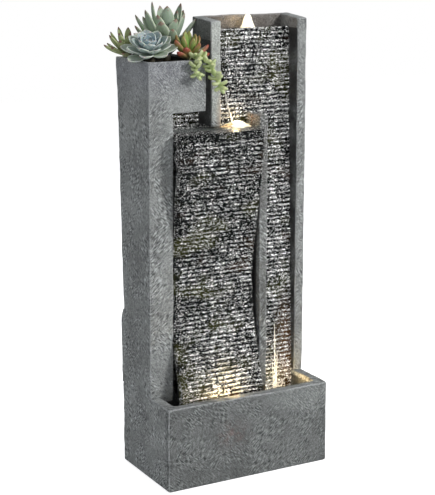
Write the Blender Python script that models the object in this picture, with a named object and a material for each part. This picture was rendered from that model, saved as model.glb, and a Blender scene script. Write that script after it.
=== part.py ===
"""A tall cascading wall fountain with a planter, cast in grey cement-look resin.

Metres, +Z up. The front faces -Y and the right side faces +X. The origin is on the ground,
in the middle of the basin's footprint.
"""

import math

import bmesh
import bpy
from mathutils import Matrix, Vector

# Clearances
GAP = 0.0003  # between pieces that rest on or against each other
SLIP = 0.0005  # round a piece that lifts, slides or screws out
RUNNING_FIT = 0.00008  # round a shaft that turns in a hole

# Basin
WIDTH = 0.403
DEPTH = 0.2275
BASIN_HEIGHT = 0.187
SIDE_WALL = 0.022
FRONT_WALL = 0.020
BACK_WALL = 0.021
BASIN_FLOOR = 0.014
BASIN_CORNER = 0.006
BASIN_EDGE = 0.0025

# Column and planter box, one casting
COLUMN_WIDTH = 0.0557
COLUMN_SETBACK_TOP = 0.0765
COLUMN_SETBACK_FOOT = 0.0850
PLANTER_TOP = 0.918
PLANTER_WIDTH = 0.134
PLANTER_HEIGHT = 0.108
PLANTER_OVERHANG = 0.0085  # how far the planter's back edge stands out behind the basin
PLANTER_WALL = 0.009
PLANTER_FLOOR = 0.012
COLUMN_WALL = 0.010
DRAIN_HOLE_RADIUS = 0.005

# Tower
TOWER_HEIGHT = 1.000
TOWER_WIDTH = 0.2393
TOWER_SETBACK = 0.108
TOWER_FRONT_DROP = 0.006  # the side walls' tops slope down to the front by this much
TOWER_BACK_WALL = 0.008
TOWER_BACK_LEAN = 0.0235  # how far the back leans in from the housing's ledge to the top
LEFT_POST_WIDTH = 0.0235
LEFT_POST_FOOT = 0.770
CASTING_EDGE = 0.0018

# Stepped housing low on the back, with the access door
HOUSING_THICKNESS = 0.0130
HOUSING_TOP = 0.340
HOUSING_LEDGE = 0.0205
DOOR_PLACE = 0.280  # middle of the door from the left side
DOOR_FOOT = 0.204
DOOR_WIDTH = 0.150
DOOR_HEIGHT = 0.116
DOOR_THICKNESS = 0.008
DOOR_REBATE = 0.013
DOOR_GRIP = (0.044, 0.004, 0.008)
SCREW_INSET = 0.0065
SCREW_RADIUS = 0.0018
SCREW_HEAD_RADIUS = 0.0040
SCREW_HEAD = 0.0024

# Ridged water wall between the tower's side walls
WALL_TOP = 0.974
WALL_SETBACK_TOP = 0.1470
WALL_SETBACK_FOOT = 0.1190
WALL_THICKNESS = 0.009
WALL_SPLIT = 0.7725  # below this the wall runs only beside the divider post
NOTCH_WIDTH = 0.019
NOTCH_TOP = 0.177
RIDGE_PITCH = 0.0095
RIDGE_DEPTH = 0.0028

# Divider post
DIVIDER_PLACE = 0.2697  # its left face from the left side
DIVIDER_WIDTH = 0.0186
DIVIDER_SETBACK = 0.079
DIVIDER_TOP = 0.791

# Bow-shaped slab
SLAB_PLACE = 0.058
SLAB_WIDTH = 0.200
SLAB_TOP = 0.766
SLAB_SETBACK = 0.044
SLAB_BOW = 0.048
SLAB_BOW_POWER = 2.0
SLAB_BOW_SKEW = 0.756
SLAB_THICKNESS = 0.018
SLAB_HEAD_DEPTH = 0.041
SLAB_HEAD_HEIGHT = 0.024

# Middle trough and the ridged wall behind it
TROUGH_DEPTH_BACK = 0.1620  # its back from the basin's front
TROUGH_HEIGHT = 0.043
TROUGH_WALL = 0.005
TROUGH_BRIM = 0.003  # how far the back and sides stand over the slab's top
TROUGH_SPILL = 0.002  # how far the front edge stands under the slab's top
BACK_WALL_SETBACK = 0.1635
BACK_WALL_FOOT = 0.700
BACK_WALL_PLATE = 0.009
SHELF_DEPTH = 0.020
SHELF_HEIGHT = 0.008

# Upper trough
UPPER_TROUGH_TOP = 0.9705
UPPER_TROUGH_HEIGHT = 0.030
UPPER_TROUGH_WALL = 0.003
LEDGE_WIDTH = 0.007
LEDGE_HEIGHT = 0.007

# Pump
PUMP_PLACE = 0.322  # the joint of its body and strainer, from the left side
PUMP_SETBACK = 0.174
PUMP_FEET = 0.0075
PUMP_LENGTH = 0.044
PUMP_BREADTH = 0.054
PUMP_HEIGHT = 0.048
PUMP_CORNER = 0.006
STRAINER_LENGTH = 0.026
STRAINER_WALL = 0.0022
SLOT_COUNT = 8
SLOT_WIDTH = 0.0026
SLOT_HEIGHT = 0.020
CHAMBER_RADIUS = 0.0140
CHAMBER_DEPTH = 0.020
IMPELLER_RADIUS = 0.0115
IMPELLER_LENGTH = 0.014
IMPELLER_HUB = 0.0042
BLADE_COUNT = 6
BLADE_THICKNESS = 0.0014
SHAFT_RADIUS = 0.0012
SHAFT_SEAT = 0.004
DIAL_RADIUS = 0.0075
DIAL_THICKNESS = 0.0045
DIAL_STEM_RADIUS = 0.0026
FOOT_RADIUS = 0.0065

# Hoses and nozzles
HOSE_RADIUS = 0.0074
HOSE_BORE = 0.0052
HOSE_BEND = 0.035
SPIGOT_RADIUS = 0.0048
SPIGOT_BORE = 0.0032
SPIGOT_LENGTH = 0.009
TEE_PLACE = 0.300
TEE_HEIGHT = 0.600
TEE_LENGTH = 0.022
NOZZLE_COLLAR_RADIUS = 0.0085
NOZZLE_COLLAR = 0.006
NOZZLE_RISE = 0.022
UPPER_NOZZLE_PLACE = 0.289
MIDDLE_NOZZLE_PLACE = 0.225
MIDDLE_NOZZLE_SETBACK = 0.122

# Lamps and leads
UPPER_LAMP_RADIUS = 0.0098
MIDDLE_LAMP_RADIUS = 0.0140
RING_LAMP_HEIGHT = 0.009
LENS_THICKNESS = 0.0030
SPOT_LAMP_RADIUS = 0.0092
SPOT_LAMP_HEIGHT = 0.020
SPOT_LAMP_TOP = 0.145
SLAB_LAMP_PLACE = 0.141
CHANNEL_LAMP_SETBACK = 0.066
LEAD_RADIUS = 0.0017
LEAD_BEND = 0.012
JUNCTION_BOX = (0.036, 0.012, 0.028)
GLAND_PLACE = 0.120
GLAND_HEIGHT = 0.262
GLAND_RADIUS = 0.0075
GLAND_BORE = 0.0052
GLAND_HEAD_RADIUS = 0.0115
GLAND_HEAD = 0.006
NUT_THICKNESS = 0.005

# Drain plug
PLUG_PLACE = 0.075
PLUG_HEIGHT = 0.030
PLUG_RADIUS = 0.0080
PLUG_HEAD_RADIUS = 0.0110
PLUG_HEAD = 0.004

# Planter liner and soil
LINER_WALL = 0.002
LINER_DROP = 0.003
SOIL_DROP = 0.012
SEDUM_STEM_RADIUS = 0.0012
SEDUM_LEAF = (0.0190, 0.0112, 0.0070)
ROSETTE_TILT = 22
ROSETTE_TILT_AXIS = (0.875, -0.485, 0.0)

# Plants: how a leaf's width runs from its foot to its tip, and where its sections lie
LANCE = ((0.0, 0.55), (0.30, 0.90), (0.58, 1.00), (0.82, 0.60))
SPOON = ((0.0, 0.40), (0.35, 0.75), (0.68, 1.00), (0.90, 0.72))
FINGER = ((0.0, 0.60), (0.35, 0.95), (0.70, 1.00), (0.92, 0.70))

LEFT = -WIDTH / 2
RIGHT = WIDTH / 2
FRONT = -DEPTH / 2
BACK = DEPTH / 2
FLOOR_TOP = BASIN_FLOOR + GAP
RIM_TOP = BASIN_HEIGHT + GAP
PLANTER_UNDERSIDE = PLANTER_TOP - PLANTER_HEIGHT
COLUMN_RIGHT = LEFT + COLUMN_WIDTH
TOWER_LEFT = RIGHT - TOWER_WIDTH
TOWER_INNER_LEFT = TOWER_LEFT + LEFT_POST_WIDTH
TOWER_INNER_RIGHT = RIGHT - SIDE_WALL
TOWER_FRONT = FRONT + TOWER_SETBACK
HOUSING_INNER = BACK - HOUSING_THICKNESS
LEDGE_TOP = HOUSING_TOP + HOUSING_LEDGE
DIVIDER_LEFT = LEFT + DIVIDER_PLACE
DIVIDER_RIGHT = DIVIDER_LEFT + DIVIDER_WIDTH


def clear_scene():
    for item in list(bpy.data.objects):
        bpy.data.objects.remove(item, do_unlink=True)


def paint(name, colour, roughness, metallic=0.0):
    material = bpy.data.materials.new(name)
    material.use_nodes = True
    shader = material.node_tree.nodes["Principled BSDF"]
    shader.inputs["Base Color"].default_value = (*colour, 1.0)
    shader.inputs["Roughness"].default_value = roughness
    shader.inputs["Metallic"].default_value = metallic
    material.diffuse_color = (*colour, 1.0)
    return material


def on_axis(axis, along, a, b):
    """A point from its place along an axis and its two other coordinates, in X, Y, Z order."""
    if axis == "X":
        return Vector((along, a, b))
    if axis == "Y":
        return Vector((a, along, b))
    return Vector((a, b, along))


def ring_faces(shape, first, second):
    count = len(first)
    for i in range(count):
        j = (i + 1) % count
        shape.faces.new((first[i], first[j], second[j], second[i]))


def lofted(rings):
    """A closed form through rings of points, capped at both ends."""
    shape = bmesh.new()
    loops = [[shape.verts.new(point) for point in ring] for ring in rings]
    for first, second in zip(loops, loops[1:]):
        ring_faces(shape, first, second)
    shape.faces.new(loops[0])
    shape.faces.new(loops[-1])
    return shape


def extruded(outline, axis, start, end):
    return lofted([[on_axis(axis, place, a, b) for a, b in outline] for place in (start, end)])


def block(low, high):
    outline = [(low[0], low[1]), (high[0], low[1]), (high[0], high[1]), (low[0], high[1])]
    return extruded(outline, "Z", low[2], high[2])


def rounded_outline(low, high, radius, steps=3):
    """A rectangle with round corners, as points."""
    corners = (
        (high[0] - radius, high[1] - radius, 0.0),
        (low[0] + radius, high[1] - radius, 0.5),
        (low[0] + radius, low[1] + radius, 1.0),
        (high[0] - radius, low[1] + radius, 1.5),
    )
    points = []
    for x, y, start in corners:
        for i in range(steps + 1):
            angle = math.pi * (start + 0.5 * i / steps)
            points.append((x + radius * math.cos(angle), y + radius * math.sin(angle)))
    return points


def rounded_block(low, high, corner, edge, axis="Z", steps=3):
    """A block with round corners along an axis and a small chamfer round both ends."""
    order = {"X": (1, 2, 0), "Y": (0, 2, 1), "Z": (0, 1, 2)}[axis]
    a0, b0, c0 = (low[i] for i in order)
    a1, b1, c1 = (high[i] for i in order)
    rings = []
    for place, inset in ((c0, edge), (c0 + edge, 0.0), (c1 - edge, 0.0), (c1, edge)):
        inner_low = (a0 + inset, b0 + inset)
        inner_high = (a1 - inset, b1 - inset)
        outline = rounded_outline(inner_low, inner_high, corner - inset / 2, steps)
        rings.append([on_axis(axis, place, a, b) for a, b in outline])
    return lofted(rings)


def turned(profile, centre, axis=(0, 0, 1), steps=20, closed_profile=False):
    """A round form from a profile of (radius, height) points turned about an axis.

    An open profile is capped flat, or meets the axis in one point where its radius is 0.
    """
    turn = Vector(axis).to_track_quat("Z", "Y").to_matrix()
    shape = bmesh.new()
    loops = []
    for radius, height in profile:
        count = steps if radius > 0 else 1
        loop = []
        for i in range(count):
            angle = 2 * math.pi * i / steps
            local = Vector((radius * math.cos(angle), radius * math.sin(angle), height))
            loop.append(shape.verts.new(Vector(centre) + turn @ local))
        loops.append(loop)
    pairs = list(zip(loops, loops[1:]))
    if closed_profile:
        pairs.append((loops[-1], loops[0]))
    for first, second in pairs:
        for i in range(steps):
            j = (i + 1) % steps
            corners = [first[i % len(first)], first[j % len(first)]]
            corners += [second[j % len(second)], second[i % len(second)]]
            unique = [corner for n, corner in enumerate(corners) if corner not in corners[:n]]
            shape.faces.new(unique)
    if not closed_profile:
        for loop in (loops[0], loops[-1]):
            if len(loop) > 1:
                shape.faces.new(loop)
    return shape


def rod(centre, axis, radius, length, steps=20):
    return turned([(radius, 0.0), (radius, length)], centre, axis, steps)


def rounded_path(points, radius, steps=3):
    """Points along straight stretches with round corners between them."""
    places = [Vector(point) for point in points]
    path = [places[0]]
    for before, corner, after in zip(places, places[1:], places[2:]):
        into = corner - before
        out = after - corner
        reach = min(radius, 0.49 * into.length, 0.49 * out.length)
        start = corner - into.normalized() * reach
        end = corner + out.normalized() * reach
        for i in range(steps + 1):
            t = i / steps
            path.append((1 - t) ** 2 * start + 2 * t * (1 - t) * corner + t**2 * end)
    path.append(places[-1])
    return path


def swept(points, radius, bend, sides=8, bore=0.0):
    """A round tube along a path with round corners, with a bore or solid."""
    path = rounded_path(points, bend)
    shape = bmesh.new()
    side = Vector((1, 0, 0))
    outer = []
    inner = []
    for i, place in enumerate(path):
        ahead = path[min(i + 1, len(path) - 1)] - path[max(i - 1, 0)]
        ahead.normalize()
        if abs(side.dot(ahead)) > 0.9:
            side = Vector((0, 1, 0))
        side = (side - ahead * side.dot(ahead)).normalized()
        other = ahead.cross(side)
        turns = [2 * math.pi * k / sides for k in range(sides)]
        spokes = [side * math.cos(turn) + other * math.sin(turn) for turn in turns]
        outer.append([shape.verts.new(place + spoke * radius) for spoke in spokes])
        if bore:
            inner.append([shape.verts.new(place + spoke * bore) for spoke in spokes])
    for loops in (outer, inner):
        for first, second in zip(loops, loops[1:]):
            ring_faces(shape, first, second)
    for end in (0, -1):
        if bore:
            ring_faces(shape, outer[end], inner[end])
        else:
            shape.faces.new(outer[end])
    return shape


def make(name, shape, material, sharp_degrees=30.0):
    """A named object from a form, faces out, with round stretches shaded smooth."""
    bmesh.ops.recalc_face_normals(shape, faces=shape.faces)
    mesh = bpy.data.meshes.new(name)
    shape.to_mesh(mesh)
    shape.free()
    mesh.materials.append(material)
    mesh.shade_smooth()
    mesh.set_sharp_from_angle(angle=math.radians(sharp_degrees))
    item = bpy.data.objects.new(name, mesh)
    bpy.context.scene.collection.objects.link(item)
    return item


def combine(item, shape, operation, self_crossing=False):
    """Cuts a form from an object, or joins it on, by a Boolean with a hidden helper."""
    name = f"{item.name}_helper_{len(item.modifiers)}"
    helper = make(name, shape, item.data.materials[0])
    helper.hide_render = True
    helper.display_type = "WIRE"
    modifier = item.modifiers.new(name, "BOOLEAN")
    modifier.object = helper
    modifier.operation = operation
    modifier.solver = "EXACT"
    modifier.use_self = self_crossing


def cut(item, shape):
    combine(item, shape, "DIFFERENCE")


def join(item, shape, self_crossing=False):
    combine(item, shape, "UNION", self_crossing)


def soften(item, width, segments=1):
    modifier = item.modifiers.new("edges", "BEVEL")
    modifier.width = width
    modifier.segments = segments
    modifier.limit_method = "ANGLE"
    modifier.angle_limit = math.radians(50)
    modifier.use_clamp_overlap = True


def move_origin(item, place):
    """Puts an object's origin on a point, with its form left where it is."""
    item.data.transform(Matrix.Translation(-Vector(place)))
    item.location = place


def between(height, low, low_value, high, high_value):
    """The value at a height on a straight line between two heights."""
    return low_value + (high_value - low_value) * (height - low) / (high - low)


def column_front(height):
    foot = FRONT + COLUMN_SETBACK_FOOT
    return between(height, BASIN_HEIGHT, foot, PLANTER_TOP, FRONT + COLUMN_SETBACK_TOP)


def column_back(height):
    if height <= LEDGE_TOP:
        return HOUSING_INNER - GAP
    return between(height, LEDGE_TOP, HOUSING_INNER - GAP, PLANTER_TOP, BACK + PLANTER_OVERHANG)


def tower_back(height):
    if height <= LEDGE_TOP:
        return HOUSING_INNER - GAP
    top = HOUSING_INNER - TOWER_BACK_LEAN
    return between(height, LEDGE_TOP, HOUSING_INNER - GAP, TOWER_HEIGHT, top)


def tower_inner(height):
    return tower_back(height) - TOWER_BACK_WALL


def wall_front(height):
    """The ridge tips of the water wall, which leans forward as it goes down."""
    top = FRONT + WALL_SETBACK_TOP
    return between(height, NOTCH_TOP, FRONT + WALL_SETBACK_FOOT, WALL_TOP, top)


def slab_front(height):
    """The bow-shaped slab's front, forward at the top and foot and back between them."""
    share = (height - BASIN_HEIGHT) / (SLAB_TOP - BASIN_HEIGHT)
    share = min(max(share, 0.0), 1.0) ** SLAB_BOW_SKEW
    bow = math.sin(math.pi * share) ** SLAB_BOW_POWER
    return FRONT + SLAB_SETBACK + SLAB_BOW * bow


def ridged(front, low, high):
    """Outline points up a front face, as (y, z): flat-topped ridges with grooves between."""
    count = int((high - low) / RIDGE_PITCH)
    points = [(front(low), low)]
    for i in range(count):
        foot = high - (count - i) * RIDGE_PITCH
        for share, depth in ((0.10, 0.0), (0.36, 1.0), (0.64, 0.0)):
            height = foot + share * RIDGE_PITCH
            points.append((front(height) + depth * RIDGE_DEPTH, height))
    points.append((front(high), high))
    return points


def basin(resin):
    low = (LEFT, FRONT, 0.0)
    high = (RIGHT, BACK, BASIN_HEIGHT)
    item = make("basin", rounded_block(low, high, BASIN_CORNER, BASIN_EDGE), resin)
    low = (LEFT + SIDE_WALL, FRONT + FRONT_WALL, BASIN_FLOOR)
    high = (RIGHT - SIDE_WALL, BACK - BACK_WALL, BASIN_HEIGHT + SIDE_WALL)
    cut(item, rounded_block(low, high, BASIN_CORNER, BASIN_EDGE))
    centre = (LEFT + PLUG_PLACE, BACK + SLIP, PLUG_HEIGHT)
    cut(item, rod(centre, (0, -1, 0), PLUG_RADIUS + SLIP, BACK_WALL + 4 * SLIP + BASIN_CORNER))
    return item


def planter_column(resin):
    """The column and the planter box in one, with slanting front and back."""
    reach = 0.05
    outline = [
        (LEFT, RIM_TOP),
        (COLUMN_RIGHT, RIM_TOP),
        (COLUMN_RIGHT, PLANTER_UNDERSIDE),
        (LEFT + PLANTER_WIDTH, PLANTER_UNDERSIDE),
        (LEFT + PLANTER_WIDTH, PLANTER_TOP),
        (LEFT, PLANTER_TOP),
    ]
    shape = extruded(outline, "Y", FRONT + COLUMN_SETBACK_TOP - reach, BACK + reach)
    item = make("planter_column", shape, resin)
    low, high = RIM_TOP - reach, PLANTER_TOP + reach
    front_waste = [
        (FRONT - reach, low),
        (column_front(low), low),
        (column_front(high), high),
        (FRONT - reach, high),
    ]
    cut(item, extruded(front_waste, "X", LEFT - reach, RIGHT))
    back_waste = [
        (column_back(low), low),
        (BACK + 2 * reach, low),
        (BACK + 2 * reach, high),
        (column_back(high), high),
        (column_back(LEDGE_TOP), LEDGE_TOP),
    ]
    cut(item, extruded(back_waste, "X", LEFT - reach, RIGHT))
    soften(item, CASTING_EDGE, 2)
    leg_low = (LEFT + SIDE_WALL + SLIP, column_front(RIM_TOP) + SLIP, FLOOR_TOP)
    leg_high = (COLUMN_RIGHT - SLIP, BACK - BACK_WALL - SLIP, RIM_TOP + COLUMN_WALL)
    join(item, rounded_block(leg_low, leg_high, BASIN_CORNER, BASIN_EDGE))
    low, high = planter_pocket()
    cut(item, rounded_block(low, high, BASIN_CORNER, BASIN_EDGE))
    hollow_low = (
        LEFT + COLUMN_WALL,
        column_front(RIM_TOP) + COLUMN_WALL,
        FLOOR_TOP - reach,
    )
    hollow_high = (
        COLUMN_RIGHT - COLUMN_WALL,
        HOUSING_INNER - COLUMN_WALL,
        PLANTER_UNDERSIDE - COLUMN_WALL,
    )
    cut(item, block(hollow_low, hollow_high))
    middle = ((hollow_low[0] + hollow_high[0]) / 2, (low[1] + high[1]) / 2, low[2] + SLIP)
    cut(item, rod(middle, (0, 0, -1), DRAIN_HOLE_RADIUS, PLANTER_FLOOR + COLUMN_WALL + reach / 2, 12))
    return item


def planter_pocket():
    """The lowest and highest corners of the pocket in the planter box."""
    low = (
        LEFT + PLANTER_WALL,
        column_front(PLANTER_UNDERSIDE) + PLANTER_WALL,
        PLANTER_UNDERSIDE + PLANTER_FLOOR,
    )
    high = (
        LEFT + PLANTER_WIDTH - PLANTER_WALL,
        column_back(PLANTER_UNDERSIDE + PLANTER_FLOOR) - PLANTER_WALL,
        PLANTER_TOP + 2 * PLANTER_WALL,
    )
    return low, high


def fillet_corner(x, z):
    """A corner to cut off what stands in the fillet between the column and the planter's floor."""
    clear = 1.3 * CASTING_EDGE
    return [(x - clear, z + clear), (x - clear, z - 2 * clear), (x + 2 * clear, z + clear)]


def tower_top(y):
    """The height of the tower's top, which slopes down to the front."""
    front_height = TOWER_HEIGHT - TOWER_FRONT_DROP
    return between(y, TOWER_FRONT, front_height, tower_back(TOWER_HEIGHT), TOWER_HEIGHT)


def tower_back_panel(resin):
    """The wall across the back of the tower and the column, with the door's and gland's holes."""
    inner_top = tower_inner(TOWER_HEIGHT)
    outline = [
        (tower_inner(RIM_TOP), RIM_TOP),
        (tower_back(RIM_TOP), RIM_TOP),
        (tower_back(LEDGE_TOP), LEDGE_TOP),
        (tower_back(TOWER_HEIGHT), TOWER_HEIGHT),
        (inner_top, tower_top(inner_top)),
        (tower_inner(LEDGE_TOP), LEDGE_TOP),
    ]
    item = make("tower_back_panel", extruded(outline, "X", LEFT, RIGHT), resin)
    soften(item, CASTING_EDGE, 1)
    over = TOWER_HEIGHT + SIDE_WALL
    left = COLUMN_RIGHT + GAP
    top = PLANTER_UNDERSIDE - GAP
    cut(item, block((LEFT - SIDE_WALL, FRONT, 0.0), (left, BACK, over)))
    cut(item, block((TOWER_INNER_RIGHT - GAP, FRONT, 0.0), (RIGHT + SIDE_WALL, BACK, over)))
    cut(item, block((LEFT - SIDE_WALL, FRONT, top), (TOWER_LEFT, BACK, over)))
    cut(item, extruded(fillet_corner(left, top), "Y", FRONT, BACK))
    low, high = door_corners()
    hole_low = (low[0] + DOOR_REBATE, BACK - 4 * HOUSING_THICKNESS, low[2] + DOOR_REBATE)
    hole_high = (high[0] - DOOR_REBATE, BACK, high[2] - DOOR_REBATE)
    cut(item, rounded_block(hole_low, hole_high, BASIN_CORNER, BASIN_EDGE / 4, "Y"))
    cut_gland_hole(item)
    for x, z in screw_places():
        start = (x, BACK, z)
        cut(item, rod(start, (0, -1, 0), SCREW_RADIUS + SLIP, HOUSING_THICKNESS + 2 * TOWER_BACK_WALL, 10))
    return item


def trough_ledge(x):
    """A ledge on a side wall's inner face, which carries one end of the upper trough."""
    top = UPPER_TROUGH_TOP - UPPER_TROUGH_HEIGHT - GAP
    front, back = upper_trough_span()
    return block((x - LEDGE_WIDTH, front, top - LEDGE_HEIGHT), (x + LEDGE_WIDTH, back, top))


def tower_right_wall(resin):
    outline = [
        (TOWER_FRONT, RIM_TOP),
        (tower_back(RIM_TOP), RIM_TOP),
        (tower_back(LEDGE_TOP), LEDGE_TOP),
        (tower_back(TOWER_HEIGHT), TOWER_HEIGHT),
        (TOWER_FRONT, tower_top(TOWER_FRONT)),
    ]
    item = make("tower_right_wall", extruded(outline, "X", TOWER_INNER_RIGHT, RIGHT), resin)
    soften(item, CASTING_EDGE, 1)
    join(item, trough_ledge(TOWER_INNER_RIGHT))
    return item


def tower_left_post(resin):
    """The tower's left wall, from over the middle trough to the top."""
    rear_top = tower_inner(TOWER_HEIGHT) - GAP
    outline = [
        (TOWER_FRONT, LEFT_POST_FOOT),
        (tower_inner(LEFT_POST_FOOT) - GAP, LEFT_POST_FOOT),
        (rear_top, tower_top(rear_top)),
        (TOWER_FRONT, tower_top(TOWER_FRONT)),
    ]
    item = make("tower_left_post", extruded(outline, "X", TOWER_LEFT, TOWER_INNER_LEFT), resin)
    soften(item, CASTING_EDGE, 1)
    join(item, trough_ledge(TOWER_INNER_LEFT))
    return item


def cut_gland_hole(item):
    start = (LEFT + GLAND_PLACE, BACK + SLIP, GLAND_HEIGHT)
    length = HOUSING_THICKNESS + 2 * TOWER_BACK_WALL
    cut(item, rod(start, (0, -1, 0), GLAND_RADIUS + SLIP, length, 16))


def door_corners():
    low = (LEFT + DOOR_PLACE - DOOR_WIDTH / 2, HOUSING_INNER + GAP, DOOR_FOOT)
    high = (low[0] + DOOR_WIDTH, low[1] + DOOR_THICKNESS, DOOR_FOOT + DOOR_HEIGHT)
    return low, high


def screw_places():
    low, high = door_corners()
    return [
        (x, z)
        for z in (low[2] + SCREW_INSET, high[2] - SCREW_INSET)
        for x in (low[0] + SCREW_INSET, high[0] - SCREW_INSET)
    ]


def rear_housing(resin):
    outline = [
        (HOUSING_INNER, RIM_TOP),
        (BACK, RIM_TOP),
        (BACK, HOUSING_TOP),
        (HOUSING_INNER + 2 * CASTING_EDGE, LEDGE_TOP),
        (HOUSING_INNER, LEDGE_TOP),
    ]
    item = make("rear_housing", extruded(outline, "X", LEFT, RIGHT), resin)
    soften(item, CASTING_EDGE / 2, 1)
    low, high = door_corners()
    hole_low = (low[0] - SLIP, BACK - 2 * HOUSING_THICKNESS, low[2] - SLIP)
    hole_high = (high[0] + SLIP, BACK + HOUSING_THICKNESS, high[2] + SLIP)
    cut(item, rounded_block(hole_low, hole_high, BASIN_CORNER, BASIN_EDGE / 4, "Y"))
    cut_gland_hole(item)
    return item


def access_door(resin):
    low, high = door_corners()
    item = make("access_door", rounded_block(low, high, BASIN_CORNER, BASIN_EDGE / 4, "Y"), resin)
    middle = [(a + b) / 2 for a, b in zip(low, high)]
    wide, deep, tall = DOOR_GRIP
    grip_low = (middle[0] - wide / 2, high[1] - deep, middle[2] - tall / 2)
    grip_high = (middle[0] + wide / 2, high[1] + deep, middle[2] + tall / 2)
    join(item, rounded_block(grip_low, grip_high, tall / 4, tall / 10, "Y", 2))
    for x, z in screw_places():
        start = (x, high[1] + SLIP, z)
        cut(item, rod(start, (0, -1, 0), SCREW_RADIUS + SLIP, DOOR_THICKNESS + 2 * SLIP, 10))
    return item


def door_screw(number, x, z, steel):
    """A pan-head screw with a cross slot, through the door into the tower's back wall."""
    seat = door_corners()[1][1] + GAP
    length = DOOR_THICKNESS + TOWER_BACK_WALL
    profile = [
        (SCREW_RADIUS, -length),
        (SCREW_RADIUS, 0.0),
        (SCREW_HEAD_RADIUS, 0.0),
        (SCREW_HEAD_RADIUS, SCREW_HEAD / 2),
        (SCREW_HEAD_RADIUS * 0.7, SCREW_HEAD),
    ]
    item = make(f"door_screw_{number}", turned(profile, (x, seat, z), (0, 1, 0), 12), steel)
    top = seat + SCREW_HEAD
    for wide, tall in ((SCREW_RADIUS, SCREW_RADIUS / 4), (SCREW_RADIUS / 4, SCREW_RADIUS)):
        cut(item, block((x - wide, top - SCREW_HEAD / 2, z - tall), (x + wide, top + SLIP, z + tall)))
    return item


def water_wall(wet_resin):
    """The ridged wall between the tower's side walls, with a notch at its lower right."""
    outline = ridged(wall_front, FLOOR_TOP, WALL_TOP)
    thick = WALL_THICKNESS
    outline += [(wall_front(WALL_TOP) + thick, WALL_TOP), (wall_front(FLOOR_TOP) + thick, FLOOR_TOP)]
    left = TOWER_INNER_LEFT + GAP
    right = TOWER_INNER_RIGHT - GAP
    item = make("water_wall", extruded(outline, "X", left, right), wet_resin)
    low = (left - thick, TOWER_FRONT - thick, -thick)
    cut(item, block(low, (DIVIDER_LEFT, BACK, WALL_SPLIT)))
    low = (right - NOTCH_WIDTH, TOWER_FRONT - thick, -thick)
    cut(item, block(low, (right + thick, BACK, NOTCH_TOP)))
    return item


def divider_post(resin):
    rear = -GAP
    outline = [
        (FRONT + DIVIDER_SETBACK, FLOOR_TOP),
        (wall_front(FLOOR_TOP) + rear, FLOOR_TOP),
        (wall_front(DIVIDER_TOP) + rear, DIVIDER_TOP),
        (FRONT + DIVIDER_SETBACK, DIVIDER_TOP),
    ]
    item = make("divider_post", extruded(outline, "X", DIVIDER_LEFT, DIVIDER_RIGHT), resin)
    soften(item, CASTING_EDGE, 2)
    return item


def middle_slab(wet_resin):
    outline = ridged(slab_front, BASIN_HEIGHT, SLAB_TOP)
    head_foot = SLAB_TOP - SLAB_HEAD_HEIGHT
    head_back = FRONT + SLAB_SETBACK + SLAB_HEAD_DEPTH
    outline += [(head_back, SLAB_TOP), (head_back, head_foot)]
    steps = 20
    for i in range(1, steps + 1):
        height = between(i, 0, head_foot - SLAB_HEAD_HEIGHT, steps, BASIN_HEIGHT)
        outline.append((slab_front(height) + SLAB_THICKNESS, height))
    outline.append((FRONT + SLAB_SETBACK + SLAB_THICKNESS, FLOOR_TOP))
    outline.append((FRONT + SLAB_SETBACK, FLOOR_TOP))
    left = LEFT + SLAB_PLACE
    return make("middle_slab", extruded(outline, "X", left, left + SLAB_WIDTH), wet_resin)


def middle_trough_corners():
    top = SLAB_TOP + TROUGH_BRIM
    front = FRONT + SLAB_SETBACK + SLAB_HEAD_DEPTH + GAP
    low = Vector((COLUMN_RIGHT + GAP, front, top - TROUGH_HEIGHT))
    high = Vector((DIVIDER_LEFT - GAP, FRONT + TROUGH_DEPTH_BACK, top))
    return low, high


def middle_trough(resin):
    low, high = middle_trough_corners()
    item = make("middle_trough", block(low, high), resin)
    wall = TROUGH_WALL
    inner_low = (low[0] + wall, low[1] + wall, low[2] + wall)
    inner_high = (high[0] - wall, high[1] - wall, high[2] + wall)
    cut(item, rounded_block(inner_low, inner_high, wall / 2, wall / 4, "Z", 2))
    spill = (inner_low[0], low[1] - wall, SLAB_TOP - TROUGH_SPILL)
    cut(item, block(spill, (inner_high[0], low[1] + 2 * wall, high[2] + wall)))
    x, y = LEFT + MIDDLE_NOZZLE_PLACE, FRONT + MIDDLE_NOZZLE_SETBACK
    cut(item, rod((x, y, low[2] - wall), (0, 0, 1), SPIGOT_RADIUS + SLIP, 3 * wall, 16))
    return item


def middle_back_wall(wet_resin):
    """The ridged wall over the middle trough, a shallow pan with its back to the tower."""
    top = PLANTER_UNDERSIDE - GAP
    outline = ridged(lambda height: FRONT + BACK_WALL_SETBACK, BACK_WALL_FOOT, top)
    outline += [(tower_inner(top) - GAP, top), (tower_inner(BACK_WALL_FOOT) - GAP, BACK_WALL_FOOT)]
    left = COLUMN_RIGHT + GAP
    right = TOWER_LEFT - GAP
    item = make("middle_back_wall", extruded(outline, "X", left, right), wet_resin)
    plate = BACK_WALL_PLATE
    low = (left + plate, FRONT + BACK_WALL_SETBACK + plate, BACK_WALL_FOOT - plate)
    cut(item, block(low, (right - plate, BACK + plate, top - plate)))
    cut(item, extruded(fillet_corner(left, top), "Y", FRONT, BACK + plate))
    shelf_top = middle_trough_corners()[0][2] - GAP
    shelf_front = FRONT + TROUGH_DEPTH_BACK - SHELF_DEPTH
    shelf_back = FRONT + BACK_WALL_SETBACK + plate / 2
    join(item, block((left, shelf_front, shelf_top - SHELF_HEIGHT), (right, shelf_back, shelf_top)))
    return item


def upper_trough_span():
    """The upper trough's front and back, clear of the water wall and the tower's back wall."""
    front = wall_front(UPPER_TROUGH_TOP) + WALL_THICKNESS + GAP
    back = tower_inner(UPPER_TROUGH_TOP) - GAP
    return front, back


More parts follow.
